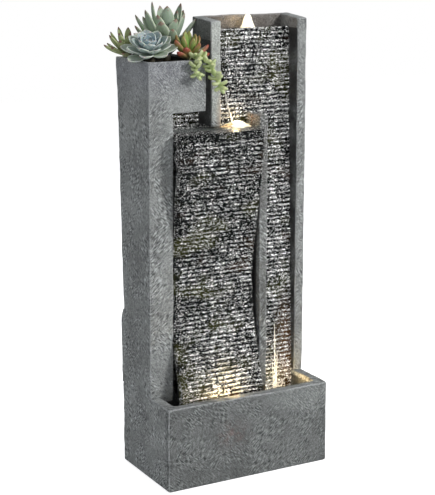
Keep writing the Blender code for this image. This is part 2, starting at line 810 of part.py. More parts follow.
def upper_trough(resin):
    front, back = upper_trough_span()
    low = (TOWER_INNER_LEFT + GAP, front, UPPER_TROUGH_TOP - UPPER_TROUGH_HEIGHT)
    high = (TOWER_INNER_RIGHT - GAP, back, UPPER_TROUGH_TOP)
    corner = 1.5 * CASTING_EDGE
    item = make("upper_trough", rounded_block(low, high, corner, CASTING_EDGE / 4, "Z", 2), resin)
    wall = UPPER_TROUGH_WALL
    inner_low = (low[0] + wall, low[1] + wall, low[2] + wall)
    inner_high = (high[0] - wall, high[1] - wall, high[2] + wall)
    cut(item, rounded_block(inner_low, inner_high, wall / 2, wall / 4, "Z", 2))
    centre = (LEFT + UPPER_NOZZLE_PLACE, (front + back) / 2, low[2] - wall)
    cut(item, rod(centre, (0, 0, 1), SPIGOT_RADIUS + SLIP, 3 * wall, 16))
    x = LEFT + UPPER_NOZZLE_PLACE + UPPER_LAMP_RADIUS + 3 * LEAD_RADIUS
    centre = (x, (front + back) / 2, low[2] - wall)
    cut(item, rod(centre, (0, 0, 1), LEAD_RADIUS + SLIP, 3 * wall, 10))
    return item


def nozzle(name, x, y, floor_under, floor_thickness, plastic):
    """A spigot under a trough's floor, a collar against it, and a pipe up through it."""
    collar = floor_under - GAP - NOZZLE_COLLAR
    top = floor_under + floor_thickness + NOZZLE_RISE
    profile = [
        (SPIGOT_BORE, collar - SPIGOT_LENGTH),
        (SPIGOT_RADIUS, collar - SPIGOT_LENGTH),
        (SPIGOT_RADIUS, collar),
        (NOZZLE_COLLAR_RADIUS, collar),
        (NOZZLE_COLLAR_RADIUS, collar + NOZZLE_COLLAR),
        (SPIGOT_RADIUS, collar + NOZZLE_COLLAR),
        (SPIGOT_RADIUS, top),
        (SPIGOT_BORE, top),
    ]
    shape = turned(profile, (x, y, 0.0), steps=16, closed_profile=True)
    return make(name, shape, plastic)


def ring_lamp(name, x, y, seat, radius, plastic, lens_plastic):
    """A ring-shaped lamp round a nozzle, with a ring lens on it."""
    hole = SPIGOT_RADIUS + SLIP
    top = seat + RING_LAMP_HEIGHT
    rim = LENS_THICKNESS / 2
    body = [
        (hole, seat),
        (radius, seat),
        (radius, top + rim),
        (radius - rim / 2, top + rim),
        (radius - rim / 2, top),
        (hole, top),
    ]
    make(name, turned(body, (x, y, 0.0), steps=20, closed_profile=True), plastic)
    outer = radius - rim / 2 - GAP
    lens = [
        (hole, top + GAP),
        (outer, top + GAP),
        (outer, top + LENS_THICKNESS * 0.6),
        ((hole + outer) / 2, top + LENS_THICKNESS),
        (hole, top + LENS_THICKNESS * 0.8),
    ]
    make(f"{name}_lens", turned(lens, (x, y, 0.0), steps=20, closed_profile=True), lens_plastic)


def spot_lamp(name, x, y, to_wall, plastic, lens_plastic):
    """A round lamp that points up, on a tab against a wall of the basin."""
    top = SPOT_LAMP_TOP
    low = top - SPOT_LAMP_HEIGHT
    radius = SPOT_LAMP_RADIUS
    rim = LENS_THICKNESS / 2
    body = [
        (radius * 0.7, low),
        (radius, low + radius * 0.3),
        (radius, top + rim),
        (radius - rim / 2, top + rim),
        (radius - rim / 2, top),
        (0.0, top),
    ]
    item = make(name, turned(body, (x, y, 0.0), steps=20), plastic)
    tab = radius * 0.45
    reach = radius + GAP
    if to_wall == "front":
        tab_low, tab_high = (x - tab, y - reach, low + tab), (x + tab, y - reach / 2, top - rim)
    else:
        tab_low, tab_high = (x + reach / 2, y - tab, low + tab), (x + reach, y + tab, top - rim)
    join(item, block(tab_low, tab_high))
    outer = radius - rim / 2 - GAP
    lens = [
        (outer, top + GAP),
        (outer, top + LENS_THICKNESS * 0.6),
        (outer * 0.6, top + LENS_THICKNESS),
        (0.0, top + LENS_THICKNESS * 1.1),
    ]
    make(f"{name}_lens", turned(lens, (x, y, 0.0), steps=20), lens_plastic)


def pump_middle():
    """The pump's axis, where its body meets the strainer."""
    height = FLOOR_TOP + PUMP_FEET + GAP + PUMP_HEIGHT / 2
    return Vector((LEFT + PUMP_PLACE, FRONT + PUMP_SETBACK, height))


def pump_outlet():
    """The top of the pump's outlet collar, where the riser hose starts."""
    middle = pump_middle()
    rise = PUMP_HEIGHT / 2 + NOZZLE_COLLAR / 2
    return middle + Vector((CHAMBER_DEPTH / 2, 0.0, rise))


def pump_body(plastic):
    middle = pump_middle()
    half = Vector((0.0, PUMP_BREADTH / 2, PUMP_HEIGHT / 2))
    low = middle - half
    high = middle + half + Vector((PUMP_LENGTH, 0.0, 0.0))
    item = make("pump_body", rounded_block(low, high, PUMP_CORNER, BASIN_EDGE / 2, "X"), plastic)
    outlet = pump_outlet()
    collar = [
        (HOSE_RADIUS, -NOZZLE_COLLAR),
        (HOSE_RADIUS, 0.0),
        (SPIGOT_RADIUS, 0.0),
        (SPIGOT_RADIUS, SPIGOT_LENGTH),
    ]
    join(item, turned(collar, outlet, steps=16))
    cut(item, rod(middle - Vector((SLIP, 0, 0)), (1, 0, 0), CHAMBER_RADIUS, CHAMBER_DEPTH + SLIP, 24))
    seat = middle + Vector((CHAMBER_DEPTH - SLIP, 0, 0))
    cut(item, rod(seat, (1, 0, 0), SHAFT_RADIUS + GAP, SHAFT_SEAT + SLIP, 12))
    bore_foot = outlet - Vector((0, 0, NOZZLE_COLLAR / 2 + PUMP_HEIGHT / 2 - CHAMBER_RADIUS / 2))
    length = outlet.z + SPIGOT_LENGTH + SLIP - bore_foot.z
    cut(item, rod(bore_foot, (0, 0, 1), SPIGOT_BORE, length, 14))
    return item


def strainer_cover(plastic):
    """The slotted cover on the pump's left side, open towards the pump."""
    middle = pump_middle()
    half = Vector((0.0, PUMP_BREADTH / 2, PUMP_HEIGHT / 2))
    low = middle - half - Vector((STRAINER_LENGTH, 0, 0))
    high = middle + half - Vector((GAP, 0, 0))
    edge = BASIN_EDGE / 2
    item = make("strainer_cover", rounded_block(low, high, PUMP_CORNER, edge, "X"), plastic)
    wall = Vector((STRAINER_WALL, STRAINER_WALL, STRAINER_WALL))
    inner_high = high - wall + Vector((2 * STRAINER_WALL, 0, 0))
    cut(item, rounded_block(low + wall, inner_high, PUMP_CORNER - STRAINER_WALL, edge, "X"))
    pitch = (PUMP_BREADTH - 2 * PUMP_CORNER) / SLOT_COUNT
    for i in range(SLOT_COUNT):
        y = middle.y + (i - (SLOT_COUNT - 1) / 2) * pitch
        slot_low = (low.x - SLIP, y - SLOT_WIDTH / 2, low.z + PUMP_CORNER)
        slot_high = (low.x + 2 * STRAINER_WALL, y + SLOT_WIDTH / 2, low.z + PUMP_CORNER + SLOT_HEIGHT)
        cut(item, block(slot_low, slot_high))
    start = dial_seat() - Vector((SLIP, 0, 0))
    cut(item, rod(start, (1, 0, 0), DIAL_STEM_RADIUS + RUNNING_FIT, STRAINER_WALL + 3 * SLIP, 14))
    return item


def dial_seat():
    """The flow dial's axis on the strainer cover's outer face."""
    middle = pump_middle()
    rise = PUMP_HEIGHT / 2 - DIAL_RADIUS - STRAINER_WALL
    return middle + Vector((-STRAINER_LENGTH, 0, rise))


def flow_dial(plastic):
    seat = dial_seat()
    profile = [
        (DIAL_STEM_RADIUS, -STRAINER_WALL * 2),
        (DIAL_STEM_RADIUS, GAP),
        (DIAL_RADIUS, GAP),
        (DIAL_RADIUS, DIAL_THICKNESS * 0.7),
        (DIAL_RADIUS * 0.8, DIAL_THICKNESS),
    ]
    item = make("flow_dial", turned(profile, seat, (-1, 0, 0), 20), plastic)
    thin = DIAL_RADIUS / 8
    out = seat.x - DIAL_THICKNESS
    low = (out - thin, seat.y - thin, seat.z - thin)
    join(item, block(low, (out + thin, seat.y + thin, seat.z + DIAL_RADIUS * 0.7)))
    move_origin(item, seat)
    return item


def impeller(plastic):
    """A hub with straight blades, on a fixed shaft."""
    middle = pump_middle()
    start = middle + Vector((CHAMBER_DEPTH - IMPELLER_LENGTH - 2 * GAP, 0, 0))
    hub = turned([(IMPELLER_HUB, 0.0), (IMPELLER_HUB, IMPELLER_LENGTH)], start, (1, 0, 0), 16)
    item = make("impeller", hub, plastic)
    reach = IMPELLER_RADIUS
    for i in range(BLADE_COUNT // 2):
        blade = block((0, -reach, -BLADE_THICKNESS / 2), (IMPELLER_LENGTH * 0.8, reach, BLADE_THICKNESS / 2))
        turn = Matrix.Rotation(2 * math.pi * i / BLADE_COUNT, 4, "X")
        blade.transform(Matrix.Translation(start + Vector((SLIP, 0, 0))) @ turn)
        join(item, blade)
    hole_start = start - Vector((SLIP, 0, 0))
    cut(item, rod(hole_start, (1, 0, 0), SHAFT_RADIUS + RUNNING_FIT, IMPELLER_LENGTH + 2 * SLIP, 12))
    move_origin(item, start)
    return item


def impeller_shaft(steel):
    middle = pump_middle()
    end = middle + Vector((CHAMBER_DEPTH + SHAFT_SEAT - GAP, 0, 0))
    length = SHAFT_SEAT + IMPELLER_LENGTH + 2 * SHAFT_RADIUS
    return make("impeller_shaft", rod(end, (-1, 0, 0), SHAFT_RADIUS, length, 12), steel)


def suction_foot(number, x, y, rubber):
    profile = [
        (FOOT_RADIUS, 0.0),
        (FOOT_RADIUS, PUMP_FEET * 0.15),
        (FOOT_RADIUS * 0.5, PUMP_FEET * 0.6),
        (FOOT_RADIUS * 0.6, PUMP_FEET),
    ]
    return make(f"suction_foot_{number}", turned(profile, (x, y, FLOOR_TOP), steps=14), rubber)


def hose_tee(plastic):
    """A tee on the riser with its branch to the left."""
    middle = tee_middle()
    half = TEE_LENGTH / 2
    run = [
        (SPIGOT_RADIUS, -half - SPIGOT_LENGTH),
        (SPIGOT_RADIUS, -half),
        (HOSE_RADIUS, -half),
        (HOSE_RADIUS, half),
        (SPIGOT_RADIUS, half),
        (SPIGOT_RADIUS, half + SPIGOT_LENGTH),
    ]
    item = make("hose_tee", turned(run, middle, steps=16), plastic)
    branch = [
        (HOSE_RADIUS, 0.0),
        (HOSE_RADIUS, half),
        (SPIGOT_RADIUS, half),
        (SPIGOT_RADIUS, half + SPIGOT_LENGTH),
    ]
    join(item, turned(branch, middle, (-1, 0, 0), 16))
    through = half + SPIGOT_LENGTH + SLIP
    cut(item, rod(middle - Vector((0, 0, through)), (0, 0, 1), SPIGOT_BORE, 2 * through, 12))
    cut(item, rod(middle, (-1, 0, 0), SPIGOT_BORE, through, 12))
    return item


def tee_middle():
    return Vector((LEFT + TEE_PLACE, FRONT + PUMP_SETBACK, TEE_HEIGHT))


def nozzle_foot(which):
    """The underside of a nozzle's collar, where its hose ends."""
    if which == "upper":
        front, back = upper_trough_span()
        under = UPPER_TROUGH_TOP - UPPER_TROUGH_HEIGHT
        place = (LEFT + UPPER_NOZZLE_PLACE, (front + back) / 2)
    else:
        under = middle_trough_corners()[0][2]
        place = (LEFT + MIDDLE_NOZZLE_PLACE, FRONT + MIDDLE_NOZZLE_SETBACK)
    return Vector((*place, under - GAP - NOZZLE_COLLAR))


def hose(name, start, start_way, end, end_way, way_points, plastic):
    """A hose between two spigots, straight out of each."""
    first = start + start_way * GAP
    last = end + end_way * GAP
    straight = SPIGOT_LENGTH + HOSE_BEND / 2
    points = [first, first + start_way * straight, *way_points, last + end_way * straight, last]
    return make(name, swept(points, HOSE_RADIUS, HOSE_BEND, 10, HOSE_BORE), plastic, 60)


def hoses(plastic):
    tee = tee_middle()
    half = TEE_LENGTH / 2
    up = Vector((0, 0, 1))
    left = Vector((-1, 0, 0))
    hose("riser_hose", pump_outlet(), up, tee - up * half, -up, [], plastic)
    hose("upper_hose", tee + up * half, up, nozzle_foot("upper"), -up, [], plastic)
    hose("branch_hose", tee + left * half, left, nozzle_foot("middle"), -up, [], plastic)


def lead(name, points, rubber):
    return make(name, swept(points, LEAD_RADIUS, LEAD_BEND, 6), rubber, 80)


def junction_corners():
    """The junction box's lowest and highest corners, against the gland's nut."""
    wide, deep, tall = JUNCTION_BOX
    back = HOUSING_INNER - GAP - TOWER_BACK_WALL - NUT_THICKNESS - 2 * GAP
    low = Vector((LEFT + GLAND_PLACE - wide / 2, back - deep, GLAND_HEIGHT - tall / 2))
    return low, low + Vector(JUNCTION_BOX)


def leads(rubber, plastic):
    """Leads from the pump and each lamp to a junction box, along the walls and the floor."""
    low, high = junction_corners()
    edge = BASIN_EDGE / 2
    make("junction_box", rounded_block(low, high, BASIN_CORNER / 2, edge, "Y", 2), plastic)
    box = (low + high) / 2
    over = high.z + GAP
    under = low.z - GAP
    side = JUNCTION_BOX[0] / 3
    floor = FLOOR_TOP + LEAD_RADIUS + GAP
    run_y = BACK - BACK_WALL - 3 * LEAD_RADIUS
    middle = pump_middle()

    top = middle.z + PUMP_HEIGHT / 2 + GAP
    start = Vector((middle.x + PUMP_LENGTH * 0.8, middle.y + PUMP_BREADTH * 0.3, top))
    run = RIM_TOP - 8 * LEAD_RADIUS
    points = [start, (start.x, start.y, run), (start.x - 0.02, run_y, run), (box.x + side, run_y, run)]
    points += [(box.x + side, box.y, run + 0.03), (box.x + side, box.y, under)]
    lead("pump_lead", points, rubber)

    front, back = upper_trough_span()
    y = (front + back) / 2
    hole_x = LEFT + UPPER_NOZZLE_PLACE + UPPER_LAMP_RADIUS + 3 * LEAD_RADIUS
    seat = UPPER_TROUGH_TOP - UPPER_TROUGH_HEIGHT + UPPER_TROUGH_WALL + RING_LAMP_HEIGHT / 2
    lamp_x = LEFT + UPPER_NOZZLE_PLACE + UPPER_LAMP_RADIUS + GAP
    clear = 3 * LEAD_RADIUS
    points = [(lamp_x, y, seat), (hole_x, y, seat), (hole_x, y, seat - 0.04)]
    points += [(hole_x + 0.02, tower_inner(z) - clear, z) for z in (0.86, LEDGE_TOP)]
    points += [(hole_x, HOUSING_INNER - TOWER_BACK_WALL - clear, HOUSING_TOP - 0.02)]
    points += [(box.x + side, box.y + LEAD_RADIUS, HOUSING_TOP - 0.03), (box.x + side, box.y, over)]
    lead("upper_lamp_lead", points, rubber)

    trough_low, trough_high = middle_trough_corners()
    lamp_y = FRONT + MIDDLE_NOZZLE_SETBACK
    lamp_x = LEFT + MIDDLE_NOZZLE_PLACE - MIDDLE_LAMP_RADIUS * 0.85
    points = [(lamp_x, lamp_y, trough_low.z - GAP), (lamp_x, lamp_y, 0.70)]
    points += [(lamp_x - 0.03, tower_inner(0.62) - clear, 0.62)]
    points += [(box.x - side, tower_inner(0.40) - clear, 0.40), (box.x - side, box.y, over + 0.03)]
    points += [(box.x - side, box.y, over)]
    lead("middle_lamp_lead", points, rubber)

    x = LEFT + SLAB_LAMP_PLACE
    y = FRONT + FRONT_WALL + SPOT_LAMP_RADIUS + 2 * GAP
    foot = SPOT_LAMP_TOP - SPOT_LAMP_HEIGHT - GAP
    passage = (LEFT + SLAB_PLACE + SLAB_WIDTH + DIVIDER_LEFT) / 2
    points = [(x, y, foot), (x, y, floor), (passage, y, floor), (passage, run_y, floor)]
    points += [(box.x, run_y - clear, floor + 0.02), (box.x, run_y - clear, RIM_TOP)]
    points += [(box.x, box.y, RIM_TOP + 0.03), (box.x, box.y, under)]
    lead("slab_lamp_lead", points, rubber)

    x = TOWER_INNER_RIGHT - SPOT_LAMP_RADIUS - 2 * GAP
    y = FRONT + CHANNEL_LAMP_SETBACK
    low_run = run - 5 * LEAD_RADIUS
    points = [(x, y, foot), (x, y, floor), (x, run_y - 0.01, floor), (x, run_y, low_run)]
    points += [(box.x - side, run_y, low_run), (box.x - side, box.y, RIM_TOP), (box.x - side, box.y, under)]
    lead("channel_lamp_lead", points, rubber)


def cable_gland(plastic):
    """A gland through the housing and the tower's back wall, with its nut inside."""
    inner = HOUSING_INNER - GAP - TOWER_BACK_WALL
    centre = (LEFT + GLAND_PLACE, BACK + GAP, GLAND_HEIGHT)
    length = BACK - inner + NUT_THICKNESS + GAP
    profile = [
        (GLAND_BORE, -length),
        (GLAND_RADIUS, -length),
        (GLAND_RADIUS, 0.0),
        (GLAND_HEAD_RADIUS, 0.0),
        (GLAND_HEAD_RADIUS, GLAND_HEAD * 0.6),
        (GLAND_RADIUS, GLAND_HEAD),
        (GLAND_BORE, GLAND_HEAD),
    ]
    make("cable_gland", turned(profile, centre, (0, 1, 0), 18, True), plastic)
    outline = [
        (GLAND_HEAD_RADIUS * math.cos(math.pi * i / 3), GLAND_HEAD_RADIUS * math.sin(math.pi * i / 3))
        for i in range(6)
    ]
    nut = extruded(outline, "Y", inner - GAP - NUT_THICKNESS, inner - GAP)
    nut.transform(Matrix.Translation((LEFT + GLAND_PLACE, 0, GLAND_HEIGHT)))
    item = make("gland_nut", nut, plastic)
    start = (LEFT + GLAND_PLACE, inner + SLIP, GLAND_HEIGHT)
    cut(item, rod(start, (0, -1, 0), GLAND_RADIUS + GAP, NUT_THICKNESS + 3 * SLIP, 18))


def drain_plug(rubber):
    centre = (LEFT + PLUG_PLACE, BACK + GAP, PLUG_HEIGHT)
    profile = [
        (PLUG_RADIUS * 0.9, -BACK_WALL),
        (PLUG_RADIUS, -BACK_WALL * 0.8),
        (PLUG_RADIUS, 0.0),
        (PLUG_HEAD_RADIUS, 0.0),
        (PLUG_HEAD_RADIUS, PLUG_HEAD * 0.6),
        (PLUG_HEAD_RADIUS * 0.8, PLUG_HEAD),
    ]
    item = make("drain_plug", turned(profile, centre, (0, 1, 0), 18), rubber)
    move_origin(item, centre)
    return item


def planter_liner(plastic):
    low, high = planter_pocket()
    top = PLANTER_TOP - LINER_DROP
    outer_low = (low[0] + SLIP, low[1] + SLIP, low[2] + GAP)
    outer_high = (high[0] - SLIP, high[1] - SLIP, top)
    item = make("planter_liner", rounded_block(outer_low, outer_high, BASIN_CORNER, BASIN_EDGE), plastic)
    wall = LINER_WALL
    inner_low = tuple(value + wall for value in outer_low)
    inner_high = (outer_high[0] - wall, outer_high[1] - wall, top + 2 * wall)
    cut(item, rounded_block(inner_low, inner_high, BASIN_CORNER - wall, BASIN_EDGE / 2))
    move_origin(item, (outer_low[0], outer_low[1], outer_low[2]))
    return item


def soil_top():
    return PLANTER_TOP - SOIL_DROP


def potting_soil(earth):
    low, high = planter_pocket()
    edge = SLIP + LINER_WALL + GAP
    soil_low = (low[0] + edge, low[1] + edge, low[2] + LINER_WALL + 2 * GAP)
    soil_high = (high[0] - edge, high[1] - edge, soil_top())
    form = rounded_block(soil_low, soil_high, BASIN_CORNER - LINER_WALL, BASIN_EDGE / 2)
    return make("potting_soil", form, earth)


def add_leaf(shape, foot, turn, lean, length, width, thickness, outline, curl=0.0, cup=0.0, grow=0.0):
    """Adds one closed, pointed leaf. Lean is from upright; curl bends its tip up again."""
    turn = math.radians(turn)
    outward = Vector((math.cos(turn), math.sin(turn), 0.0))
    across = Vector((-math.sin(turn), math.cos(turn), 0.0))
    place = Vector(foot)
    last = 0.0
    loops = []
    for share, wide in (*outline, (1.0, 0.0)):
        angle = math.radians(lean + curl * (0.5 - (last + share) / 2))
        along = outward * math.sin(angle) + Vector((0, 0, math.cos(angle)))
        place = place + along * (share - last) * (length + grow)
        last = share
        if not wide:
            loops.append([shape.verts.new(place)])
            continue
        face_up = along.cross(across)
        if face_up.z < 0:
            face_up = -face_up
        half = wide * width / 2 + grow
        thick = wide**0.5 * thickness / 2 + grow
        lift = cup * wide * width
        section = ((-1, 0, lift), (-0.5, 0.6, lift / 4), (0.5, 0.6, lift / 4), (1, 0, lift), (0, -1, 0))
        loops.append([
            shape.verts.new(place + across * half * a + face_up * (thick * b + rise))
            for a, b, rise in section
        ])
    for first, second in zip(loops, loops[1:-1]):
        ring_faces(shape, first, second)
    tip = loops[-1][0]
    rim = loops[-2]
    for i, vertex in enumerate(rim):
        shape.faces.new((vertex, rim[(i + 1) % len(rim)], tip))
    shape.faces.new(loops[0])


def add_core(shape, centre, radius, top):
    """Adds the short stem that a rosette's leaves grow from, down to the soil."""
    foot = soil_top() + GAP
    rings = []
    for height, wide in ((foot, 0.8), (between(0.6, 0, foot, 1, top), 1.0), (top, 0.55)):
        turns = [math.pi * i / 4 for i in range(8)]
        rings.append([
            Vector((centre[0] + radius * wide * math.cos(t), centre[1] + radius * wide * math.sin(t), height))
            for t in turns
        ])
    core = lofted(rings)
    mesh = bpy.data.meshes.new("core")
    core.to_mesh(mesh)
    core.free()
    shape.from_mesh(mesh)
    bpy.data.meshes.remove(mesh)


def keep_largest_piece(item):
    """Works out an object's modifiers and drops leaf ends that its neighbours cut off."""
    graph = bpy.context.evaluated_depsgraph_get()
    shape = bmesh.new()
    shape.from_object(item, graph)
    bmesh.ops.remove_doubles(shape, verts=shape.verts, dist=2e-6)
    bmesh.ops.dissolve_degenerate(shape, edges=shape.edges, dist=2e-6)
    pieces = []
    free = set(shape.faces)
    while free:
        queue = [free.pop()]
        piece = set(queue)
        while queue:
            for edge in queue.pop().edges:
                if len(edge.link_faces) != 2:
                    continue
                for face in edge.link_faces:
                    if face in free:
                        free.remove(face)
                        piece.add(face)
                        queue.append(face)
        pieces.append(piece)
    largest = max(pieces, key=len)
    spare = [face for face in shape.faces if face not in largest]
    bmesh.ops.delete(shape, geom=spare, context="FACES")
    item.modifiers.clear()
    shape.to_mesh(item.data)
    shape.free()


def planter_space():
    """What plants keep out of: the soil, the planter's walls and the tower's left wall."""
    low, high = planter_pocket()
    inset = SLIP + LINER_WALL + GAP
    over = PLANTER_TOP + GAP
    reach = 0.02
    frame = bmesh.new()
    outer_low = (LEFT - GAP, column_front(PLANTER_TOP) - GAP)
    outer_high = (LEFT + PLANTER_WIDTH + GAP, column_back(PLANTER_TOP) + GAP)
    outer = rounded_outline(outer_low, outer_high, CASTING_EDGE, 2)
    inner = rounded_outline(
        (low[0] + inset, low[1] + inset), (high[0] - inset, high[1] - inset), CASTING_EDGE, 2
    )
    loops = [
        [frame.verts.new((x, y, z)) for x, y in outline]
        for outline, z in ((outer, over - 3 * reach), (outer, over), (inner, over), (inner, over - 3 * reach))
    ]
    for first, second in zip(loops, loops[1:] + loops[:1]):
        ring_faces(frame, first, second)
    soil = block((low[0], low[1], PLANTER_UNDERSIDE), (high[0], high[1], soil_top() + GAP))
    wall_low = (TOWER_LEFT - 2 * GAP, TOWER_FRONT - 2 * GAP, PLANTER_UNDERSIDE)
    wall = block(wall_low, (TOWER_LEFT + reach, tower_back(PLANTER_TOP) + GAP, TOWER_HEIGHT + reach))
    return frame, soil, wall


def grow(name, add_leaves, material, neighbours):
    """A plant from its leaves, joined to one body and cut clear of what is beside it."""
    shape = bmesh.new()
    add_leaves(shape, 0.0)
    item = make(name, shape, material, 75)
    waste = planter_space()
    combine(item, waste[0], "DIFFERENCE", True)
    cut(item, waste[1])
    cut(item, waste[2])
    for neighbour in neighbours:
        fatter = bmesh.new()
        neighbour(fatter, 1.5 * GAP)
        combine(item, fatter, "DIFFERENCE", True)
    keep_largest_piece(item)
    return item


def tilted(turn, lean, tilt):
    """The turn and lean of a leaf after its plant is tilted."""
    turn, lean = math.radians(turn), math.radians(lean)
    flat = math.sin(lean)
    along = tilt @ Vector((flat * math.cos(turn), flat * math.sin(turn), math.cos(lean)))
    return math.degrees(math.atan2(along.y, along.x)), math.degrees(math.acos(along.z))


def rosette(centre, base, count, lengths, leans, width, thickness, outline, start, curl, cup, core, tilt):
    """A function that adds a rosette's leaves, from the innermost out, by the golden angle."""

    def add_leaves(shape, extra):
        add_core(shape, centre, core + extra, base + core + extra)
        for i in range(count):
            share = i / (count - 1)
            wobble = math.sin(i * 2.4) * 0.06
            turn = start + 137.5 * i
            lean = between(share**0.8, 0, leans[0], 1, leans[1]) * (1 + wobble)
            length = between(share**0.7, 0, lengths[0], 1, lengths[1]) * (1 + wobble)
            wide = width * (0.55 + 0.45 * share**0.5)
            foot = Vector((*centre, between(share, 0, base + core * 0.6, 1, base)))
            turn, lean = tilted(turn, lean, tilt)
            add_leaf(shape, foot, turn, lean, length, wide, thickness, outline, curl, cup, extra)

    return add_leaves


def on_bed(x, y, z=0.0):
    """A place over the planter from its distances to the left side and the basin's front."""
    return Vector((LEFT + x, FRONT + y, z))


def listed_leaves(foot, core, rows, width, thickness, outline, curl, cup):
    """A function that adds leaves given one by one as turn, lean, length and width share."""

    def add_leaves(shape, extra):
        add_core(shape, foot.xy, core + extra, foot.z + core + extra)
        for turn, lean, length, share in rows:
            wide = width * share
            add_leaf(shape, foot, turn, lean, length, wide, thickness, outline, curl, cup, extra)

    return add_leaves


TALL_LEAVES = (
    (154, 14, 0.1200, 0.9), (-105, 8, 0.1090, 1.2), (21, 24, 0.1210, 0.8), (30, 37, 0.1180, 0.9),
    (-176, 27, 0.1130, 1.0), (169, 37, 0.1130, 0.7), (178, 47, 0.1000, 0.8), (-127, 38, 0.1000, 1.1),
    (-10, 41, 0.1040, 0.8), (-40, 24, 0.1010, 1.0), (97, 12, 0.1090, 0.9), (60, 17, 0.1030, 0.8),
    (120, 36, 0.1020, 0.9), (78, 40, 0.0960, 0.9), (48, 55, 0.0800, 0.8), (-65, 46, 0.0780, 1.0),
    (-100, 38, 0.0780, 1.1), (142, 56, 0.0860, 0.8), (-75, 22, 0.0880, 1.2), (-150, 20, 0.0960, 1.1),
    (0, 16, 0.1000, 1.0),
)
OLIVE_LEAVES = (
    (-175, 45, 0.0640, 1.0), (165, 36, 0.0630, 1.0), (120, 22, 0.0640, 0.9), (60, 12, 0.0600, 0.9),
    (-45, 20, 0.0510, 1.0), (-150, 70, 0.0660, 1.0), (-125, 80, 0.0580, 1.0), (-135, 54, 0.0610, 1.2),
    (-105, 60, 0.0500, 1.1), (100, 40, 0.0410, 1.0), (150, 60, 0.0520, 1.0), (-160, 28, 0.0560, 1.0),
    (-80, 40, 0.0470, 1.1), (-110, 30, 0.0500, 1.1), (175, 66, 0.0600, 1.0),
)
BUD_LEAVES = (
    (160, 12, 0.0480, 1.0), (20, 14, 0.0440, 1.0), (-80, 10, 0.0430, 1.0), (100, 25, 0.0400, 1.0),
    (-150, 32, 0.0400, 1.0), (-30, 34, 0.0360, 1.0),
)
RED_TIPPED_LEAVES = (
    (-163, 46, 0.0560, 1.0), (145, 30, 0.0540, 1.0), (110, 10, 0.0560, 0.9), (60, 16, 0.0560, 0.9),
    (10, 20, 0.0510, 1.0), (14, 35, 0.0530, 1.0), (-14, 60, 0.0500, 1.0), (-25, 80, 0.0450, 1.1),
    (-127, 58, 0.0450, 1.1), (-148, 72, 0.0480, 1.1), (-60, 42, 0.0420, 0.9),
    (-80, 22, 0.0450, 0.9), (-165, 20, 0.0480, 0.9), (75, 48, 0.0400, 0.9), (-45, 66, 0.0400, 1.0),
)


def tall_leaves():
    foot = on_bed(0.097, 0.188, 0.918)
    return listed_leaves(foot, 0.011, TALL_LEAVES, 0.0260, 0.0085, LANCE, 16, 0.10)


def olive_leaves():
    foot = on_bed(0.016, 0.208, 0.922)
    return listed_leaves(foot, 0.010, OLIVE_LEAVES, 0.0160, 0.0068, LANCE, 20, 0.08)


def bud_leaves():
    foot = on_bed(0.032, 0.206, 0.924)
    return listed_leaves(foot, 0.007, BUD_LEAVES, 0.0115, 0.0056, LANCE, 14, 0.06)


def red_tipped_leaves():
    foot = on_bed(0.112, 0.112, 0.922)
    return listed_leaves(foot, 0.010, RED_TIPPED_LEAVES, 0.0132, 0.0095, FINGER, 24, 0.04)


def blue_leaves():
    """The powdery rosette, whose face leans to the front left over the planter's corner."""
    centre = on_bed(0.028, 0.128).xy
    lengths = (0.020, 0.061)
    leans = (6, 86)
    tilt = Matrix.Rotation(math.radians(ROSETTE_TILT), 3, Vector(ROSETTE_TILT_AXIS))
    return rosette(centre, 0.938, 24, lengths, leans, 0.0335, 0.0060, SPOON, 34, 26, 0.10, 0.012, tilt)


def sedum_leaves(shape, extra):
    """Two stems over the planter's front edge, with short fat leaves all along them."""
    long_stem = (
        (0.098, 0.094, 0.907), (0.103, 0.083, 0.926), (0.114, 0.0680, 0.926), (0.130, 0.0660, 0.916),
        (0.143, 0.0660, 0.898), (0.154, 0.0670, 0.878), (0.164, 0.0670, 0.862),
    )
    short_stem = (
        (0.109, 0.0755, 0.9262), (0.104, 0.0670, 0.918), (0.103, 0.0655, 0.906), (0.107, 0.0650, 0.894),
    )
    for points, spacing in ((long_stem, 0.0055), (short_stem, 0.0058)):
        places = [on_bed(*point) for point in points]
        stem = swept(places, SEDUM_STEM_RADIUS + extra, 0.006, 5)
        mesh = bpy.data.meshes.new("stem")
        stem.to_mesh(mesh)
        stem.free()
        shape.from_mesh(mesh)
        bpy.data.meshes.remove(mesh)
        number = 0
        for start, end in zip(places[1:], places[2:]):
            steps = max(1, round((end - start).length / spacing))
            for i in range(steps):
                foot = start.lerp(end, (i + 0.5) / steps)
                turn = -84 + 137.5 * number
                lean = 62 + 30 * math.sin(number * 1.7)
                add_leaf(shape, foot, turn, lean, *SEDUM_LEAF, FINGER, 30, 0.03, extra)
                number += 1
        for turn, lean in ((-90, 95), (0, 110), (-45, 150), (180, 115)):
            add_leaf(shape, places[-1], turn, lean, *SEDUM_LEAF, FINGER, 20, 0.03, extra)


def plants(greens):
    """The plants, each cut clear of those before it."""
    kinds = (
        ("tall_rosette", tall_leaves()),
        ("blue_rosette", blue_leaves()),
        ("red_tipped_rosette", red_tipped_leaves()),
        ("olive_rosette", olive_leaves()),
        ("red_bud_rosette", bud_leaves()),
        ("trailing_sedum", sedum_leaves),
    )
    for i, (name, add_leaves) in enumerate(kinds):
        grow(name, add_leaves, greens[i], [other for _, other in kinds[:i]])


